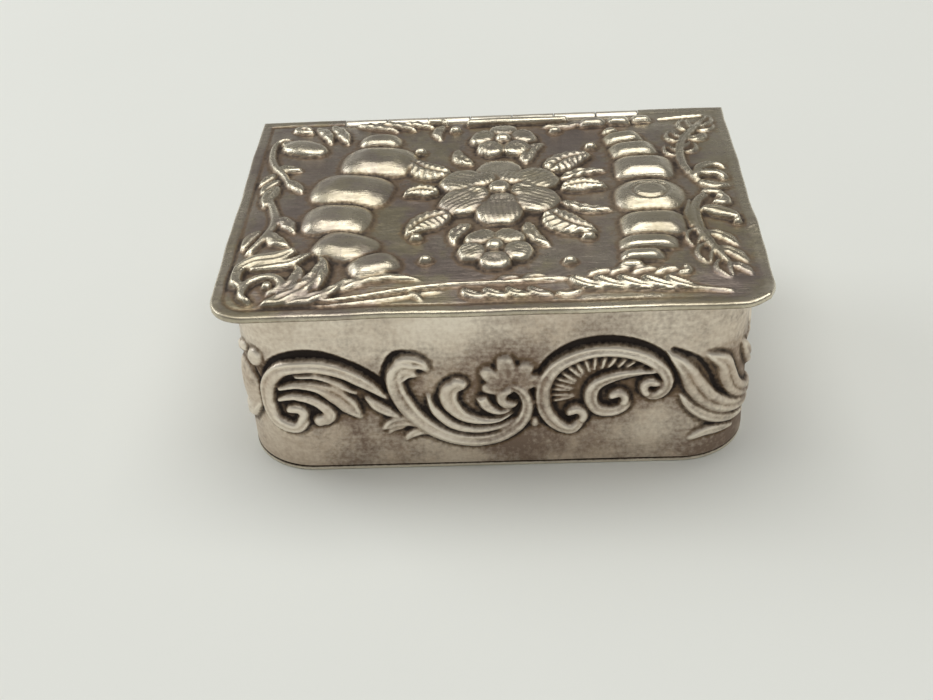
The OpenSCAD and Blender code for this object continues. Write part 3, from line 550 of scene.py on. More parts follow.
for (x, y), tilt, length in (
        ((17.7, 24.6), 118, 2.6), ((17.8, 25.4), 62, 2.6), ((18.2, 27.4), 112, 2.8), ((18.5, 28.0), 40, 2.8),
        ((19.2, 29.8), 96, 2.9), ((19.6, 30.4), 36, 2.4), ((20.3, 31.6), 66, 2.2),
        ((17.9, 11.2), -104, 3.0), ((18.1, 10.8), -38, 3.4), ((18.4, 8.8), -98, 3.1), ((18.7, 8.3), -42, 3.4),
        ((19.2, 6.4), -82, 2.8), ((19.6, 5.8), -44, 2.4)):
    way = length * np.array([np.cos(np.radians(tilt)), np.sin(np.radians(tilt))])
    bend = 0.14 * np.array([-way[1], way[0]]) * (1 if tilt in (118, 112, 96, -38, -42, -44) else -1)
    line = [(x, y), (x + way[0] / 2 + bend[0], y + way[1] / 2 + bend[1]), (x + way[0], y + way[1])]
    outlined = tilt not in (40, -38, -42, -44)
    right_margin.append(hollow_leaf(line, 0.52 * length, 0.36) if outlined else leaf(line, 0.4 * length, 0.4, 3, 0.6))
print("marks in the margins:", len(left_margin) + len(right_margin))

# %% Press the garland along the front and the leaves along the back
garland = [
    stem([(-16.4, 1.6), (-11.0, 2.4), (-7.0, 3.2), (-3.4, 3.7), (1.0, 3.8), (4.5, 4.1), (6.8, 4.2)], 0.42, 0.26),
    stem([(-15.2, 1.3), (-9.0, 1.9), (-3.8, 3.0)], 0.3, 0.2), stem([(13.0, 3.5), (16.0, 2.6), (19.4, 1.9)], 0.5, 0.24),
    leaf([(-14.2, 2.5), (-11.6, 4.1), (-9.0, 5.0), (-5.6, 4.6)], 1.2, 0.36, 6), leaf([(-6.6, 3.0), (-5.9, 2.4), (-5.4, 1.7)], 0.6, 0.24),
    leaf([(5.2, 2.3), (6.3, 2.1), (7.6, 2.6)], 0.6, 0.28), curl((15.8, 4.7), 0.55, 0.3, 90, -1)]
for k in range(5):
    x, y = 6.5 + 1.9 * k, 4.35 - 0.1 * k
    garland.append(leaf([(x, y), (x + 1.0, y - 0.95), (x + 2.9, y - 1.75)], 1.2, 0.46, 0, 0.55))
for k in range(4):
    x = -2.3 + 1.75 * k
    garland.append(leaf([(x, 3.1), (x + 0.8, 2.3), (x + 2.2, 2.0)], 0.95, 0.38, 0, 0.5))
for x, y in ((0.4, 3.9), (2.5, 4.1), (8.0, 4.5), (9.8, 4.6), (11.6, 4.6), (13.4, 4.5)):
    garland.append(leaf([(x, y), (x + 0.9, y + 0.55), (x + 2.1, y + 0.55)], 0.6, 0.28, 0, 0.5))
back_leaves = [
    leaf([(-13.2, 34.0), (-11.2, 33.2), (-9.0, 31.8)], 1.1, 0.5, 4), leaf([(-11.6, 34.2), (-9.2, 33.4), (-7.2, 31.9)], 1.2, 0.55, 4),
    leaf([(-9.6, 34.2), (-7.4, 33.6), (-5.4, 32.4)], 1.1, 0.5, 4), rib([(-6.4, 33.9), (-5.0, 33.9), (-4.2, 33.1)], [0.9, 0.8, 0.4], 0.5),
    leaf([(9.2, 32.6), (7.0, 31.8), (4.9, 31.9)], 1.1, 0.4, 4), leaf([(-4.6, 32.8), (-5.2, 31.2), (-4.8, 29.6)], 1.1, 0.45, 3)]
print("garland leaves:", len(garland))

# %% [markdown]
# The middle of the lid is a free design: an open rose between two blossoms, with veined leaves and small
# buds to fill the ground. Its domes are as large and as closely chased as the gadroons beside them need.

# %% Press the flowers in the middle
def blossom(at, radius, petals, height, turn=90, ribs=4, width=1.0):
    marks = []
    for k in range(petals):
        a = 360 * k / petals + turn
        foot = np.array(at) + 0.16 * radius * np.array([np.cos(np.radians(a)), np.sin(np.radians(a))])
        marks.append(petal(foot, 0.84 * radius, width * 4.6 * radius / petals, height, a, ribs))
    return marks


rose = (0.8, 18.6)
flowers = blossom(rose, 5.9, 6, 0.98, 90, 9, 0.98)
inner = blossom(rose, 3.7, 5, 1.14, 60, 7, 0.92)
heart = [dome(rose, 1.15, 1.15, 1.2, fullness=0.4)]
blossoms = []
for side in (-1, 1):
    at = (rose[0] + 0.4 * side, rose[1] + side * 9.9)
    blossoms += blossom(at, 3.3, 5, 0.9, 90 * side, 7, 0.95) + [dome(at, 0.9, 0.9, 1.05)]
leaves = []
for angle, reach, length, width in (
        (38, 5.6, 5.4, 3.2), (142, 5.6, 5.2, 3.0), (222, 5.6, 5.2, 3.0), (318, 5.6, 5.6, 3.2),
        (2, 5.5, 4.2, 2.3), (180, 5.5, 3.2, 2.2), (66, 6.0, 4.4, 1.6), (114, 6.0, 3.6, 1.5), (246, 6.0, 3.6, 1.5),
        (294, 6.0, 4.4, 1.6), (20, 5.8, 4.6, 1.3), (340, 5.8, 4.8, 1.3)):
    out = np.array([np.cos(np.radians(angle)), np.sin(np.radians(angle))])
    bend = 0.6 * np.array([-out[1], out[0]]) * (1 if angle < 180 else -1)
    p = np.array(rose) + reach * out
    leaves.append(leaf([p, p + out * length / 2 + bend, p + out * length], width, 0.7 if width > 2 else 0.5,
                       8 if width > 2 else 4, 0.45))
buds = [dome(p, 0.6, 0.5, 0.5) for p in
        ((-6.3, 11.0), (-6.6, 27.0), (8.4, 10.4), (9.4, 27.0), (6.2, 30.6), (-3.4, 31.6), (6.6, 6.6), (-5.4, 7.4))]
for mark in lid_marks + left_margin + right_margin + garland + back_leaves + flowers + blossoms + leaves + buds:
    lid.press(mark)
core = Board(-lid_w / 2, lid_w / 2, 0, lid_d)
for mark in inner + heart:
    core.press(mark)
lid.h = np.maximum(lid.h, core.h)
print("marks on the lid:", sum(map(len, (lid_marks, left_margin, right_margin, garland, flowers, inner, leaves, buds))))

# %% [markdown]
# The rim is a narrow lip with a groove inside it, and the panel swells up from there. Then the ground gets the dull, slightly hammered
# surface that a matting punch leaves, and the feet of all forms are sharpened as on the walls.

# %% Raise the panel, sharpen the feet and matt the ground
def rim_distance(x, y, radius):
    """Distance inward from the lid's outline, with x from the middle and y from the front."""
    side = np.minimum(lid_w / 2 - np.abs(x), lid_d - y)
    cx, cy = np.maximum(np.abs(x) - (lid_w / 2 - radius), 0), np.maximum(radius - y, 0)
    return np.where((cx > 0) & (cy > 0), radius - np.hypot(cx, cy), np.minimum(side, y))


X, Y = np.meshgrid(lid.u, lid.v)
rim = rim_distance(X, Y, lid_corner)
lid.h *= 1 - 0.22 * soft_step((np.abs(X) - 15.5) / 1.5)
step_up = soft_step((rim - border_w) / 4.5)
lid.h *= soft_step((rim - border_w) / 0.6)
left_side = 1 - 0.9 * soft_step((X - 11) / 6)
lid.dirt_and_shade = 0.5 * left_side * np.exp(-(((rim - border_w - 0.1) / 0.11) ** 2)) * (0.6 + 0.4 * np.sin(0.7 * X + 1.3) * np.sin(0.5 * Y))
lid_raised = lid.h.copy()
lid.h += 0.4 * (lid.h - lid.blur(lid.h, 0.3)) + 0.5 * lid.blur(lid_raised, 0.75) * np.clip(1 - lid_raised / 0.8, 0, 1)
lid.h += 0.05 * soft_step((border_w - rim) / 0.35) - 0.08 * left_side * np.exp(-(((rim - border_w - 0.12) / 0.16) ** 2))
grain = lid.blur(rng.standard_normal(lid.h.shape), 0.12)
dents = lid.blur(rng.standard_normal(lid.h.shape), 1.8)
stipple = np.clip(-lid.blur(rng.standard_normal(lid.h.shape), 0.14), 0, None)
ground = np.clip(1 - lid_raised / 0.15, 0, 1) * step_up
lid.h += 0.05 * dents / np.abs(dents).max() + 0.014 * grain / np.abs(grain).max() - 0.05 * ground * stipple / stipple.max()
heart_mark = (np.hypot(X - rose[0], Y - rose[1]) < 1.0) * (0.06 * np.sin(9.5 * X) * np.sin(9.5 * Y))
lid.h = np.clip(lid.blur(lid.h + heart_mark, 0.055), -0.15, 1.12) + panel_rise * step_up
lid_fields = wear_fields(lid, lid_raised, 0.3, 0.15)
print(f"lid relief up to {lid.h.max():.2f} mm over the border")

# %% [markdown]
# ## From drawing to sheet metal
# A sheet has two faces and a rim. Both faces are grids of points, a fine one outside and a coarser one
# inside, and the rim is a strip that joins two rings with different numbers of points. Grid lines are
# crowded near the edges, so that the rim rolls over in a small radius instead of a knife edge.

# %% Helpers that build a mesh
def graded(low, high, spacing, near_low, near_high, also=()):
    middle = np.linspace(low + near_low[-1], high - near_high[-1],
                         int(round((high - low - near_low[-1] - near_high[-1]) / spacing)) + 1)
    return np.unique(np.concatenate([low + np.array(near_low), middle, high - np.array(near_high), also]).round(5))


def grid_faces(rows, cols, start, closed=False, flip=False):
    """Quads of a grid whose points are stored row by row."""
    r, c = np.meshgrid(np.arange(rows - 1), np.arange(cols if closed else cols - 1), indexing="ij")
    a, b = start + r * cols + c, start + r * cols + (c + 1) % cols
    quads = np.stack([a, b, b + cols, a + cols], -1).reshape(-1, 4)
    return quads[:, ::-1] if flip else quads


def zip_rings(ring_a, ring_b, at_a, at_b):
    """Triangles between two closed rings. at_a and at_b say how far round each point is, from 0 to 1."""
    a, b = list(ring_a) + [ring_a[0]], list(ring_b) + [ring_b[0]]
    ta, tb = list(at_a) + [1.0], list(at_b) + [1.0]
    i = j = 0
    out = []
    while i < len(a) - 1 or j < len(b) - 1:
        if j == len(b) - 1 or (i < len(a) - 1 and ta[i + 1] <= tb[j + 1]):
            out.append((a[i], a[i + 1], b[j]))
            i += 1
        else:
            out.append((a[i], b[j + 1], b[j]))
            j += 1
    return out


def make_piece(name, points_mm, faces, body, replaces=None, marks=None, weld=False, smooth=True):
    """A mesh piece that rides on a body. marks are numbers for each point that the materials read."""
    mesh = bpy.data.meshes.new(name)
    mesh.from_pydata((np.asarray(points_mm) / 1000).tolist(), [], [list(map(int, f)) for f in faces])
    for mark, values in (marks or {}).items():
        mesh.attributes.new(mark, "FLOAT", "POINT").data.foreach_set("value", np.asarray(values, np.float32))
    if weld:
        bm = bmesh.new()
        bm.from_mesh(mesh)
        bmesh.ops.remove_doubles(bm, verts=bm.verts, dist=2e-6)
        bmesh.ops.recalc_face_normals(bm, faces=bm.faces)
        bm.to_mesh(mesh)
        bm.free()
    if smooth:
        mesh.shade_smooth()
    piece = bpy.data.objects.new(name, mesh)
    bpy.context.scene.collection.objects.link(piece)
    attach(piece, body)
    if replaces:
        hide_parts(*replaces)
    print(f"{name}: {len(mesh.vertices)} points, {len(mesh.polygons)} faces")
    return piece


def roll(distance, radius):
    """How far a rounded rim falls back at this distance from the edge."""
    return radius - np.sqrt(radius**2 - (radius - np.clip(distance, 0, radius)) ** 2)


# %% [markdown]
# ### The wall sheet
# Walking round the wall, a point is a distance s along it, a height z and a standing-out h. The function
# below turns that into a place, round four corners. With a negative h the same function gives the inside.

# %% Bend the wall sheet
def wall_place(s, z, h):
    s, z, h = np.broadcast_arrays(*map(np.asarray, (s, z, h)))
    s = (s + girth / 2) % girth - girth / 2
    hand, a = np.where(s < 0, -1, 1), np.abs(s)
    b = a - flat_x - corner_l - 2 * flat_y
    turn = np.clip((a - flat_x) / corner_r, 0, np.pi / 2) + np.clip(b / corner_r, 0, np.pi / 2)
    sin, cos = np.sin(turn), np.cos(turn)
    first, second = a < flat_x + corner_l, b >= 0
    x = np.where(a < flat_x, a, np.where(b >= corner_l, flat_x - (b - corner_l), flat_x + corner_r * sin))
    y = np.where(first, -flat_y - corner_r * cos, np.where(second, flat_y - corner_r * cos, a - flat_x - corner_l - flat_y))
    x = np.where((~first) & (~second), half_w, x)
    y = np.where(a < flat_x, -half_d, np.where(b >= corner_l, half_d, y))
    return np.stack([hand * (x + h * sin), y - h * cos + body_y, z], -1)


front_s = np.arange(-24, 28, 0.13)
rest_s = np.linspace(28, girth - 24, int((girth - 52) / 0.29), endpoint=False)
out_s = np.concatenate([front_s, (rest_s + girth / 2) % girth - girth / 2])
out_z = graded(base_t, mouth_z, 0.135, [0, 0.03, 0.07, 0.13], [0, 0.03, 0.07, 0.13])
in_s = out_s[::4]
in_z = graded(base_t, mouth_z, 0.6, [0, 0.1], [0, 0.03, 0.1])
S, Z = np.meshgrid(out_s, out_z)
falling = roll(mouth_z - Z, 0.13) + roll(Z - base_t, 0.1)
outer = wall_place(S, Z, wall.read(wall.h, S, Z) - falling)
S2, Z2 = np.meshgrid(in_s, in_z)
pushed = wall.blur(np.clip(wall.h, 0, None), 0.3)
inner_h = -sheet_t + 0.75 * wall.read(pushed, S2, Z2) + roll(mouth_z - Z2, 0.1)
inner_wall = wall_place(S2, Z2, inner_h)
n_out, n_in = len(out_s), len(in_s)
start_in = outer.shape[0] * n_out
faces = grid_faces(len(out_z), n_out, 0, closed=True).tolist()
faces += grid_faces(len(in_z), n_in, start_in, closed=True, flip=True).tolist()
ta, tb = np.arange(n_out) / n_out, np.arange(n_in) * 4 / n_out
top_out = (len(out_z) - 1) * n_out + np.arange(n_out)
top_in = start_in + (len(in_z) - 1) * n_in + np.arange(n_in)
faces += zip_rings(top_out, top_in, ta, tb)
faces += [f[::-1] for f in zip_rings(np.arange(n_out), start_in + np.arange(n_in), ta, tb)]
marks = {name: np.concatenate([wall.read(field, S, Z).ravel(), np.full(S2.size, still)])
         for (name, field), still in zip(wall_fields.items(), (0.3, 0.0, 0.0, 0.4))}
# Paler upper walls: wear at the mouth, and a painted reflection of the lit table over the upper half. A paler patch low
# on the right of the front and a darker one high in its middle are set by position.
wear_and_painted_sheen = 0.7 * soft_step((Z - 8.5) / 4.5) + 0.5 * np.exp(-((mouth_z - Z) / 0.3) ** 2)
wear_and_painted_sheen += 0.85 * np.exp(-(((S - 15.5) / 6) ** 2) - ((Z - 4.0) / 2.8) ** 2)
wear_and_painted_sheen -= 0.4 * np.exp(-(((S + 1) / 3.5) ** 2) - ((Z - 11.5) / 2.2) ** 2)
marks["edge"] = np.concatenate([wear_and_painted_sheen.ravel(), np.exp(-((mouth_z - Z2) / 0.3) ** 2).ravel()])
wall_sheet = make_piece("wall_sheet", np.vstack([outer.reshape(-1, 3), inner_wall.reshape(-1, 3)]), faces,
                        "box", ["side_band"], marks)

# %% [markdown]
# ### The lid sheet
# The lid is a flat grid. Its two front corners are rounded by sliding the grid's own points onto an arc,
# and a notch at the back leaves room for the hinge barrel. The underside follows the relief, because the
# real sheet is hollow behind each form. Years of handling have bent the rim a little, most of all at the
# right front corner, which curls up.

# %% Lay out the lid sheet
notch_half = pin_high[0] + 0.06
notch_y = axis_y - lid_front - 0.86
steps_x = sorted([-notch_half - 0.004, -notch_half + 0.004, notch_half - 0.004, notch_half + 0.004])


def lid_place(x, y):
    """Slides points of the square grid into the rounded corners and the notch."""
    cx, cy = np.abs(x) - (lid_w / 2 - lid_corner), lid_corner - y
    corner = (cx > 0) & (cy > 0)
    length = np.maximum(np.hypot(cx, cy), 1e-9)
    pull = np.where(corner, np.maximum(cx, cy) / length, 1)
    pull = np.where(x > 0, 0.72 * pull + 0.28, pull)
    x2 = np.where(corner, np.sign(x) * (lid_w / 2 - lid_corner + cx * pull), x)
    y2 = np.where(corner, lid_corner - cy * pull, y)
    in_notch = (np.abs(x) < notch_half) & (y2 > notch_y)
    wobble = 0.5 + 0.35 * np.sin(0.42 * y + 0.6 * np.sign(x)) + 0.15 * np.sin(1.13 * y + 1.9 * np.sign(x))
    x2 = x2 - np.sign(x) * 0.13 * wobble * np.clip(1 - (lid_w / 2 - np.abs(x)) / 2.5, 0, 1)
    y2 = np.where(in_notch, notch_y, y2)
    inward = np.minimum(np.minimum(lid_w / 2 - np.abs(x), y), lid_d - y)
    inward = np.where(np.abs(x) < notch_half, np.minimum(inward, np.maximum(notch_y - y, 0)), inward)
    return x2, y2, inward


def handling(x, y):
    """Small bends of the whole sheet, in millimetres."""
    curl = 0.4 * np.exp(-(((x - lid_w / 2 + 0.6) / 1.1) ** 2) - ((y - 0.7) / 1.6) ** 2)
    kink = 0.22 * np.exp(-(((x - lid_w / 2) / 0.9) ** 2) - ((y - 12.5) / 1.6) ** 2)
    wave = 0.05 * np.sin(0.31 * x + 0.8) * np.cos(0.24 * y) * np.clip(1 - y / 30, 0, 1)
    dip = 0.08 * np.exp(-(((x + 9) / 5) ** 2) - (y / 2.5) ** 2)
    return curl + kink + np.abs(wave) + dip


def lid_layer(spacing, near):
    xs = graded(-lid_w / 2, lid_w / 2, spacing, near, near, steps_x)
    ys = graded(0, lid_d, spacing, near, near)
    GX, GY = np.meshgrid(xs, ys)
    x, y, inward = lid_place(GX, GY)
    loop = np.arange(GX.size).reshape(GX.shape)
    ring = np.concatenate([loop[0, :-1], loop[:-1, -1], loop[-1, :0:-1], loop[:0:-1, 0]])
    at = np.concatenate([(xs[:-1] - xs[0]) / lid_w, 1 + ys[:-1] / lid_d, 2 + (xs[-1] - xs[:0:-1]) / lid_w, 3 + (lid_d - ys[:0:-1]) / lid_d]) / 4
    return GX.shape, x, y, inward, ring, at


# %% Build the lid sheet
shape_t, x_t, y_t, in_t, ring_t, at_t = lid_layer(0.15, [0, 0.03, 0.08, 0.15, 0.24])
shape_b, x_b, y_b, in_b, ring_b, at_b = lid_layer(0.36, [0, 0.05, 0.14])
top_z = lid_z + lid_t + lid.read(lid.h, x_t, y_t) - roll(in_t, 0.26)
hollow_behind = lid.blur(np.clip(lid.h, 0, None), 0.3)
inside_flange = np.clip((in_b - 2.3) / 0.8, 0, 1)
under_z = lid_z + 0.85 * inside_flange * lid.read(hollow_behind, x_b, y_b) + roll(in_b, 0.14)
bend_t, bend_b = handling(x_t, y_t), handling(x_b, y_b)
top = np.stack([x_t, y_t + lid_front, top_z + bend_t], -1).reshape(-1, 3)
under = np.stack([x_b, y_b + lid_front, under_z + bend_b], -1).reshape(-1, 3)
faces = grid_faces(*shape_t, 0).tolist() + grid_faces(*shape_b, len(top), flip=True).tolist()
faces += [f[::-1] for f in zip_rings(ring_t, ring_b + len(top), at_t, at_b)]
marks = {name: np.concatenate([lid.read(field, x_t, y_t).ravel(), np.full(len(under), still)])
         for (name, field), still in zip(lid_fields.items(), (0.25, 0.0, 0.0, 0.3))}
from_rim = np.concatenate([in_t.ravel(), in_b.ravel()])
marks["edge"] = 0.3 * soft_step((border_w - from_rim) / 0.4) + 0.55 * np.exp(-((from_rim / 0.24) ** 2))
lid_sheet = make_piece("lid_sheet", np.vstack([top, under]), faces, "lid", ["lid_plate"], marks, weld=True)

# %% [markdown]
# ### The base and the barrel
# The base is a flat sheet with its edge filed round, and the fine groove where it meets the wall is the
# solder seam. Each knuckle of the hinge is a short tube, rolled from strip: its ends are chamfered, and a
# narrow seam runs along it. A profile swept round an outline or an axis makes both.

# %% The base sheet and the knuckles
def swept(rings, closed=True):
    """Faces between rings of equal size."""
    n = rings.shape[1]
    faces = grid_faces(len(rings), n, 0, closed=closed).tolist()
    return rings.reshape(-1, 3), faces


loop_s = np.linspace(0, girth, 300, endpoint=False)
profile = [(-0.16, 0.0), (-0.07, 0.02), (-0.02, 0.07), (0, 0.14), (0, 0.30), (-0.03, 0.37), (-0.09, 0.42), (-0.2, base_t)]
rings = np.stack([wall_place(loop_s, np.full(300, z), np.full(300, h)) for h, z in profile])
points, faces = swept(rings)
faces += [list(range(299, -1, -1)), list(range(len(points) - 300, len(points)))]
edge = np.repeat([0.2, 0.6, 1, 0.8, 0.4, 0, 0, 0], 300)
hollow = np.repeat([0.3, 0, 0, 0, 0.2, 0.7, 1, 1], 300)
base_sheet = make_piece("base_sheet", points, faces, "box", ["base_plate"],
                        {"hollow": hollow, "crest": 0 * edge, "ornament": 0 * edge, "edge": edge, "stain": 0 * edge + 0.4})


def knuckle_tube(node, body):
    low, high = box_mm(node)
    radius, bore, n = (high[2] - low[2]) / 2, 0.4, 56
    turn = 2 * np.pi * np.arange(n) / n
    outline = [(0.0, bore), (0.0, radius - 0.07), (0.025, radius - 0.025), (0.07, radius), (0.3, radius - 0.012)]
    ends_in = [(low[0] + x, r) for x, r in outline] + [((low[0] + high[0]) / 2, radius)] + [(high[0] - x, r) for x, r in outline[::-1]]
    rows = []
    for x, r in ends_in:
        seam = 0.05 * np.exp(-(((turn - 4.4) / 0.07) ** 2)) * (r > bore + 0.1)
        rows.append(np.stack([np.full(n, x), axis_y + (r - seam) * np.cos(turn), axis_z + (r - seam) * np.sin(turn)], -1))
    rows.append(rows[0])
    points = np.stack(rows)
    dirty = np.repeat([0.5, 0.9, 0.6, 0.15, 0.05, 0.05, 0.05, 0.15, 0.6, 0.9, 0.5, 0.5], n)
    points, faces = swept(points)
    # The upper half of each knuckle is kept cleaner: wear on its exposed side, and a painted highlight along its top.
    wear_and_sheen = 0.5 * (points[:, 2] > axis_z)
    return make_piece(node + "_tube", points, [f[::-1] for f in faces], body, [node],
                      {"hollow": dirty, "crest": wear_and_sheen, "ornament": 0 * wear_and_sheen + 1, "edge": 0 * wear_and_sheen, "stain": 0 * wear_and_sheen}, weld=True)


tubes = [knuckle_tube(f"body_knuckle_{k}", "box") for k in (1, 2, 3, 4)]
tubes += [knuckle_tube(f"lid_knuckle_{k}", "lid") for k in (1, 2, 3)]
print("knuckle tubes:", len(tubes))

# %% [markdown]
# ## Finishes
# Old silver is never one colour. A warm film lies over it in clouds, brown-black dirt sits in the hollows,
# and touch keeps the crests bright. The same marks also paint shade into the lined wall grooves and a
# sheen on the upper walls. Every silver piece shares these effects, so they are node groups: one for the
# tarnish and gloss, one for the fine scratches. Each material places them with its own values.

# %% Helpers for nodes
def add(tree, kind, values=None, **settings):
    """Adds a node. A value that is a socket is linked, any other is set."""
    new = tree.nodes.new("ShaderNode" + kind)
    for key, value in settings.items():
        setattr(new, key, value)
    for key, value in (values or {}).items():
        if isinstance(value, bpy.types.NodeSocket):
            tree.links.new(value, new.inputs[key])
        else:
            new.inputs[key].default_value = value
    return new


def math(tree, operation, a, b=0.0, clamp=False):
    return add(tree, "Math", {0: a, 1: b}, operation=operation, use_clamp=clamp).outputs[0]


def blend_colours(tree, share, a, b, mode="MIX"):
    mix = add(tree, "Mix", {0: share, 6: a, 7: b}, data_type="RGBA", blend_type=mode)
    return mix.outputs[2]


def noise(tree, scale, detail=3.0, coordinates=None, rough=0.5):
    where = coordinates or add(tree, "TexCoord").outputs["Object"]
    return add(tree, "TexNoise", {"Vector": where, "Scale": scale, "Detail": detail, "Roughness": rough}).outputs["Fac"]


def stretch(tree, value, low, high):
    return add(tree, "MapRange", {"Value": value, "From Min": low, "From Max": high}).outputs["Result"]


def new_group(name, inputs, outputs):
    group = bpy.data.node_groups.new(name, "ShaderNodeTree")
    for label, default in inputs.items():
        kind = "NodeSocketColor" if isinstance(default, tuple) else "NodeSocketFloat"
        group.interface.new_socket(label, in_out="INPUT", socket_type=kind).default_value = default
    for label, kind in outputs.items():
        group.interface.new_socket(label, in_out="OUTPUT", socket_type=kind)
    return group, add_end(group, "NodeGroupInput"), add_end(group, "NodeGroupOutput")


def add_end(group, kind):
    return group.nodes.new(kind)


# %% The tarnish group
tarnish, given, result = new_group(
    "Silver tarnish",
    {"Clean": (0.8, 0.77, 0.7, 1), "Film": (0.4, 0.36, 0.33, 1), "Patch": (0.3, 0.24, 0.24, 1),
     "Dirt": (0.03, 0.02, 0.012, 1), "Hollow": 0.0, "Crest": 0.0, "Ornament": 0.0, "Edge": 0.0, "Stain": 0.0,
     "Film amount": 0.5, "Cloud scale": 120.0, "Gloss": 0.3, "Streak y": 400.0, "Streak z": 2600.0, "Streaks": 0.3,
     "Speckle": 0.2},
    {"Colour": "NodeSocketColor", "Roughness": "NodeSocketFloat", "Metal": "NodeSocketFloat"})
g = given.outputs
place_node = add(tarnish, "TexCoord").outputs["Object"]
clouds = stretch(tarnish, noise(tarnish, g["Cloud scale"], 6.0, rough=0.62), 0.36, 0.64)
moved_place = add(tarnish, "VectorMath", {0: place_node, 1: (0.31, 0.17, 0.05)}, operation="ADD").outputs[0]
patches = stretch(tarnish, noise(tarnish, math(tarnish, "MULTIPLY", g["Cloud scale"], 1.3), 8.0, moved_place, 0.7), 0.0, 1.0)
patches = math(tarnish, "ADD", patches, math(tarnish, "MULTIPLY", math(tarnish, "SUBTRACT", g["Stain"], 0.12), 0.13))
patches = stretch(tarnish, patches, 0.455, 0.55)
streak_scale = add(tarnish, "CombineXYZ", {"X": 170.0, "Y": g["Streak y"], "Z": g["Streak z"]}).outputs[0]
streak_place = add(tarnish, "VectorMath", {0: place_node, 1: streak_scale}, operation="MULTIPLY").outputs[0]
streak = math(tarnish, "SUBTRACT", stretch(tarnish, noise(tarnish, 1.0, 4.0, streak_place, 0.6), 0.3, 0.7), 0.5)
flecks = noise(tarnish, 2600, 3.0)
film = math(tarnish, "ADD", g["Film amount"], math(tarnish, "MULTIPLY", math(tarnish, "SUBTRACT", clouds, 0.5), 0.75))
film = math(tarnish, "ADD", film, math(tarnish, "MULTIPLY", streak, g["Streaks"]))
speckle = math(tarnish, "MULTIPLY", math(tarnish, "SUBTRACT", stretch(tarnish, flecks, 0.3, 0.7), 0.5), g["Speckle"])
film = math(tarnish, "ADD", film, speckle)
# Film comes off with wear on crests, ornament and rims, and also with the painted sheen of the upper walls and the
# knuckle tops.
wear_and_sheen = math(tarnish, "ADD", math(tarnish, "MULTIPLY", g["Crest"], 0.8), math(tarnish, "MULTIPLY", g["Ornament"], 0.26))
wear_and_sheen = math(tarnish, "ADD", wear_and_sheen, math(tarnish, "MULTIPLY", g["Edge"], 0.9))
film = math(tarnish, "SUBTRACT", film, wear_and_sheen, True)
grit = math(tarnish, "MULTIPLY", math(tarnish, "SUBTRACT", stretch(tarnish, flecks, 0.35, 0.65), 0.5), 0.22)
# Hollows go towards the dark colour: patina in them, and painted shade in the lined wall grooves.
dirt_and_shade = math(tarnish, "ADD", g["Hollow"], math(tarnish, "MULTIPLY", grit, math(tarnish, "MULTIPLY", g["Hollow"], 2.0, True)))
dirt_and_shade = stretch(tarnish, dirt_and_shade, 0.17, 0.80)
film_colour = blend_colours(tarnish, patches, g["Film"], g["Patch"])
colour = blend_colours(tarnish, film, g["Clean"], film_colour)
rust = math(tarnish, "MULTIPLY", math(tarnish, "MULTIPLY", dirt_and_shade, math(tarnish, "SUBTRACT", 1.0, dirt_and_shade), True), 2.2, True)
colour = blend_colours(tarnish, rust, colour, (0.30, 0.19, 0.09, 1))
colour = blend_colours(tarnish, dirt_and_shade, colour, g["Dirt"])
rough = math(tarnish, "ADD", g["Gloss"], math(tarnish, "MULTIPLY", film, 0.14))
rough = math(tarnish, "ADD", rough, math(tarnish, "MULTIPLY", dirt_and_shade, 0.2))
rough = math(tarnish, "ADD", rough, math(tarnish, "MULTIPLY", streak, 0.12))
rough = math(tarnish, "ADD", rough, math(tarnish, "MULTIPLY", math(tarnish, "SUBTRACT", flecks, 0.5), 0.14), True)
tarnish.links.new(colour, result.inputs["Colour"])
tarnish.links.new(rough, result.inputs["Roughness"])
tarnish.links.new(math(tarnish, "SUBTRACT", 1.0, math(tarnish, "MULTIPLY", dirt_and_shade, 0.65), True), result.inputs["Metal"])
print("tarnish group:", len(tarnish.nodes), "nodes")

# %% The scratch group
scratches, given, result = new_group(
    "Fine scratches", {"Brushing": 0.4, "Pitting": 0.4, "Hammering": 0.5}, {"Height": "NodeSocketFloat"})
place_node = add(scratches, "TexCoord").outputs["Object"]
along_x = add(scratches, "Mapping", {"Vector": place_node, "Scale": (350, 6500, 6500)}).outputs["Vector"]
across = add(scratches, "Mapping", {"Vector": place_node, "Rotation": (0, 0, 0.9), "Scale": (500, 7000, 5000)}).outputs["Vector"]
lines = math(scratches, "ADD", noise(scratches, 1.0, 2.0, along_x), math(scratches, "MULTIPLY", noise(scratches, 1.0, 2.0, across), 0.6))
pits = noise(scratches, 3800, 4.0, rough=0.6)
height = math(scratches, "ADD", math(scratches, "MULTIPLY", lines, given.outputs["Brushing"]),
              math(scratches, "MULTIPLY", pits, given.outputs["Pitting"]))
hammered = noise(scratches, 1300, 2.0, rough=0.4)
height = math(scratches, "ADD", height, math(scratches, "MULTIPLY", hammered, given.outputs["Hammering"]))
scratches.links.new(height, result.inputs["Height"])
print("scratch group:", len(scratches.nodes), "nodes")

# %% [markdown]
# Each material reads the marks that the meshes carry, passes them through the groups and keeps its own
# metal shader. A solid that has no marks reads zero for them, and shows plain filmed silver.

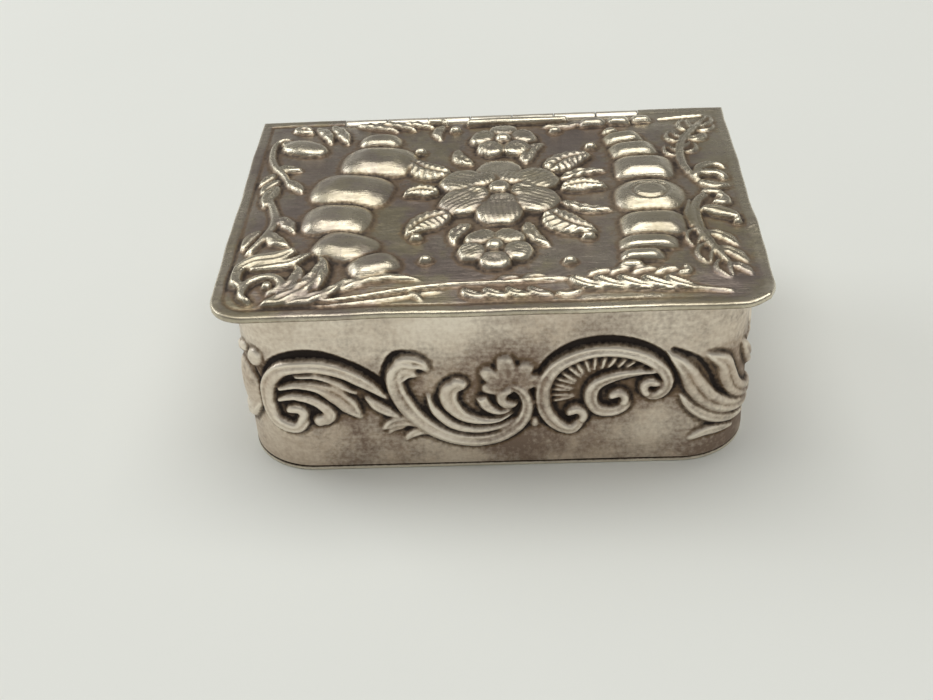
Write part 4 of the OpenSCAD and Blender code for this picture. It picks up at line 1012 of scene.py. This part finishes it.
# %% Mix the silvers
def silver(name, clean, film, patch, dirt_and_shade, brushing, pitting, hammering=0.3, depth=0.00004, **values):
    """values are further inputs of the tarnish group, with _ for a space."""
    mat = bpy.data.materials.new(name)
    mat.use_nodes = True
    tree = mat.node_tree
    shader = tree.nodes["Principled BSDF"]
    marks = {label: add(tree, "Attribute", attribute_name=label.lower()).outputs["Fac"]
             for label in ("Hollow", "Crest", "Ornament", "Edge", "Stain")}
    age = add(tree, "Group", {}, node_tree=tarnish)
    for label, value in {"Clean": clean, "Film": film, "Patch": patch, "Dirt": dirt_and_shade}.items():
        age.inputs[label].default_value = (*value, 1)
    for label, value in values.items():
        age.inputs[label.replace("_", " ")].default_value = value
    for label, socket in marks.items():
        tree.links.new(socket, age.inputs[label])
    tree.links.new(age.outputs["Colour"], shader.inputs["Base Color"])
    tree.links.new(age.outputs["Roughness"], shader.inputs["Roughness"])
    tree.links.new(age.outputs["Metal"], shader.inputs["Metallic"])
    marks_of_wear = add(tree, "Group", {}, node_tree=scratches)
    for label, value in {"Brushing": brushing, "Pitting": pitting, "Hammering": hammering}.items():
        marks_of_wear.inputs[label].default_value = value
    bump = add(tree, "Bump", {"Height": marks_of_wear.outputs["Height"], "Distance": depth, "Strength": 0.8})
    tree.links.new(bump.outputs["Normal"], shader.inputs["Normal"])
    return mat


wall_silver = silver("aged_wall", (0.86, 0.775, 0.655), (0.58, 0.475, 0.375), (0.275, 0.203, 0.157), (0.021, 0.012, 0.008),
                     0.4, 1.2, 0.5, Film_amount=0.95, Cloud_scale=70, Gloss=0.40, Streaks=0.14, Speckle=0.42)
lid_silver = silver("aged_lid", (0.675, 0.615, 0.48), (0.335, 0.292, 0.202), (0.275, 0.228, 0.198), (0.035, 0.021, 0.011),
                    0.6, 0.8, 0.9, Film_amount=0.93, Cloud_scale=100, Gloss=0.235, Streak_y=2600, Streak_z=400, Streaks=0.3)
edge_silver = silver("aged_edge", (0.80, 0.74, 0.62), (0.38, 0.32, 0.25), (0.28, 0.23, 0.20), (0.030, 0.020, 0.013),
                     0.5, 0.4, Film_amount=0.45, Cloud_scale=150, Gloss=0.30)
hinge_silver = silver("aged_hinge", (0.74, 0.69, 0.58), (0.32, 0.27, 0.21), (0.25, 0.21, 0.19), (0.028, 0.020, 0.013),
                      0.6, 0.4, Film_amount=0.55, Cloud_scale=300, Gloss=0.30)
gilt_silver = silver("aged_gilt", (0.84, 0.65, 0.37), (0.62, 0.47, 0.29), (0.54, 0.43, 0.29), (0.060, 0.040, 0.022),
                     0.6, 0.3, Film_amount=0.45, Cloud_scale=140, Gloss=0.26)
for piece, mat in [(wall_sheet, wall_silver), (lid_sheet, lid_silver), (base_sheet, edge_silver)] + [(t, hinge_silver) for t in tubes]:
    piece.data.materials.append(mat)
for node, mat in (("body_hinge_bearer", hinge_silver), ("lid_hinge_bearer", hinge_silver), ("hinge_pin", hinge_silver),
                  ("lid_flange", edge_silver), ("compartment_divider", gilt_silver), ("stamp_slope_left", gilt_silver),
                  ("stamp_slope_right", gilt_silver)):
    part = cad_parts[node]
    for slot in part.material_slots:
        slot.material = mat
print("finishes:", ", ".join(m.name for m in (wall_silver, lid_silver, edge_silver, hinge_silver, gilt_silver)))

# %% [markdown]
# ## Table and light
# Polished metal shows what is round it more than its own colour. The flat lid mirrors the room behind the
# box, its domes mirror the ceiling, and the walls mirror the pale table. So the room matters: a large soft
# ceiling light, a grey room over a pale horizon, and a pale table. Far from the box the table shows its
# own paleness to the camera and to the metal, because no lamp reaches that far.

# %% The table, the room and the lamps
bpy.ops.mesh.primitive_plane_add(size=30, location=(0, 0, 0))
table = bpy.context.object
table.name = "table"
paper = bpy.data.materials.new("pale_table")
paper.use_nodes = True
tree = paper.node_tree
tone = blend_colours(tree, stretch(tree, noise(tree, 9, 3.0), 0.3, 0.7), (0.795, 0.81, 0.77, 1), (0.825, 0.84, 0.80, 1))
matt = tree.nodes["Principled BSDF"]
tree.links.new(tone, matt.inputs["Base Color"])
matt.inputs["Roughness"].default_value = 0.7
matt.inputs["Specular IOR Level"].default_value = 0.2
ray = add(tree, "LightPath").outputs
seen = math(tree, "MAXIMUM", ray["Is Camera Ray"], math(tree, "MAXIMUM", ray["Is Glossy Ray"], ray["Is Transmission Ray"]))
away_from_box = add(tree, "VectorMath", {0: add(tree, "TexCoord").outputs["Object"]}, operation="LENGTH").outputs["Value"]
far = add(tree, "MapRange", {"Value": away_from_box, "From Min": 0.12, "From Max": 0.9}, interpolation_type="SMOOTHSTEP").outputs[0]
glow = add(tree, "Emission", {"Color": (0.76, 0.77, 0.72, 1), "Strength": 1.0}).outputs[0]
both = add(tree, "MixShader", {0: math(tree, "MULTIPLY", far, seen), 1: matt.outputs[0], 2: glow}).outputs[0]
tree.links.new(both, tree.nodes["Material Output"].inputs["Surface"])
table.data.materials.append(paper)

world = bpy.data.worlds.new("room")
bpy.context.scene.world = world
world.use_nodes = True
tree = world.node_tree
way_up = add(tree, "SeparateXYZ", {"Vector": add(tree, "TexCoord").outputs["Generated"]}).outputs["Z"]
ramp = add(tree, "ValToRGB", {"Fac": way_up})
ramp.color_ramp.elements[0].color = (0.73, 0.75, 0.71, 1)
ramp.color_ramp.elements[1].color = (0.52, 0.53, 0.53, 1)
for at, level in ((0.10, 0.72), (0.27, 0.30), (0.62, 0.21), (0.84, 0.27)):
    ramp.color_ramp.elements.new(at).color = (level, 0.99 * level, 0.97 * level, 1)
tree.links.new(ramp.outputs["Color"], tree.nodes["Background"].inputs["Color"])


def lamp(name, place, aim, size, power, tint=(1, 1, 1)):
    light = bpy.data.lights.new(name, "AREA")
    light.shape, light.size, light.size_y, light.energy, light.color = "RECTANGLE", *size, power, tint
    o = bpy.data.objects.new(name, light)
    o.location = place
    o.rotation_euler = (Vector(aim) - Vector(place)).to_track_quat("-Z", "Y").to_euler()
    bpy.context.scene.collection.objects.link(o)


lamp("ceiling_light", (0.02, 0.08, 0.60), (0, 0, 0), (0.74, 0.52), 2.5, (1.0, 0.985, 0.95))
lamp("window_light", (-0.50, 0.25, 0.32), (0, 0, 0.01), (0.36, 0.26), 0.9, (0.95, 0.98, 1.0))
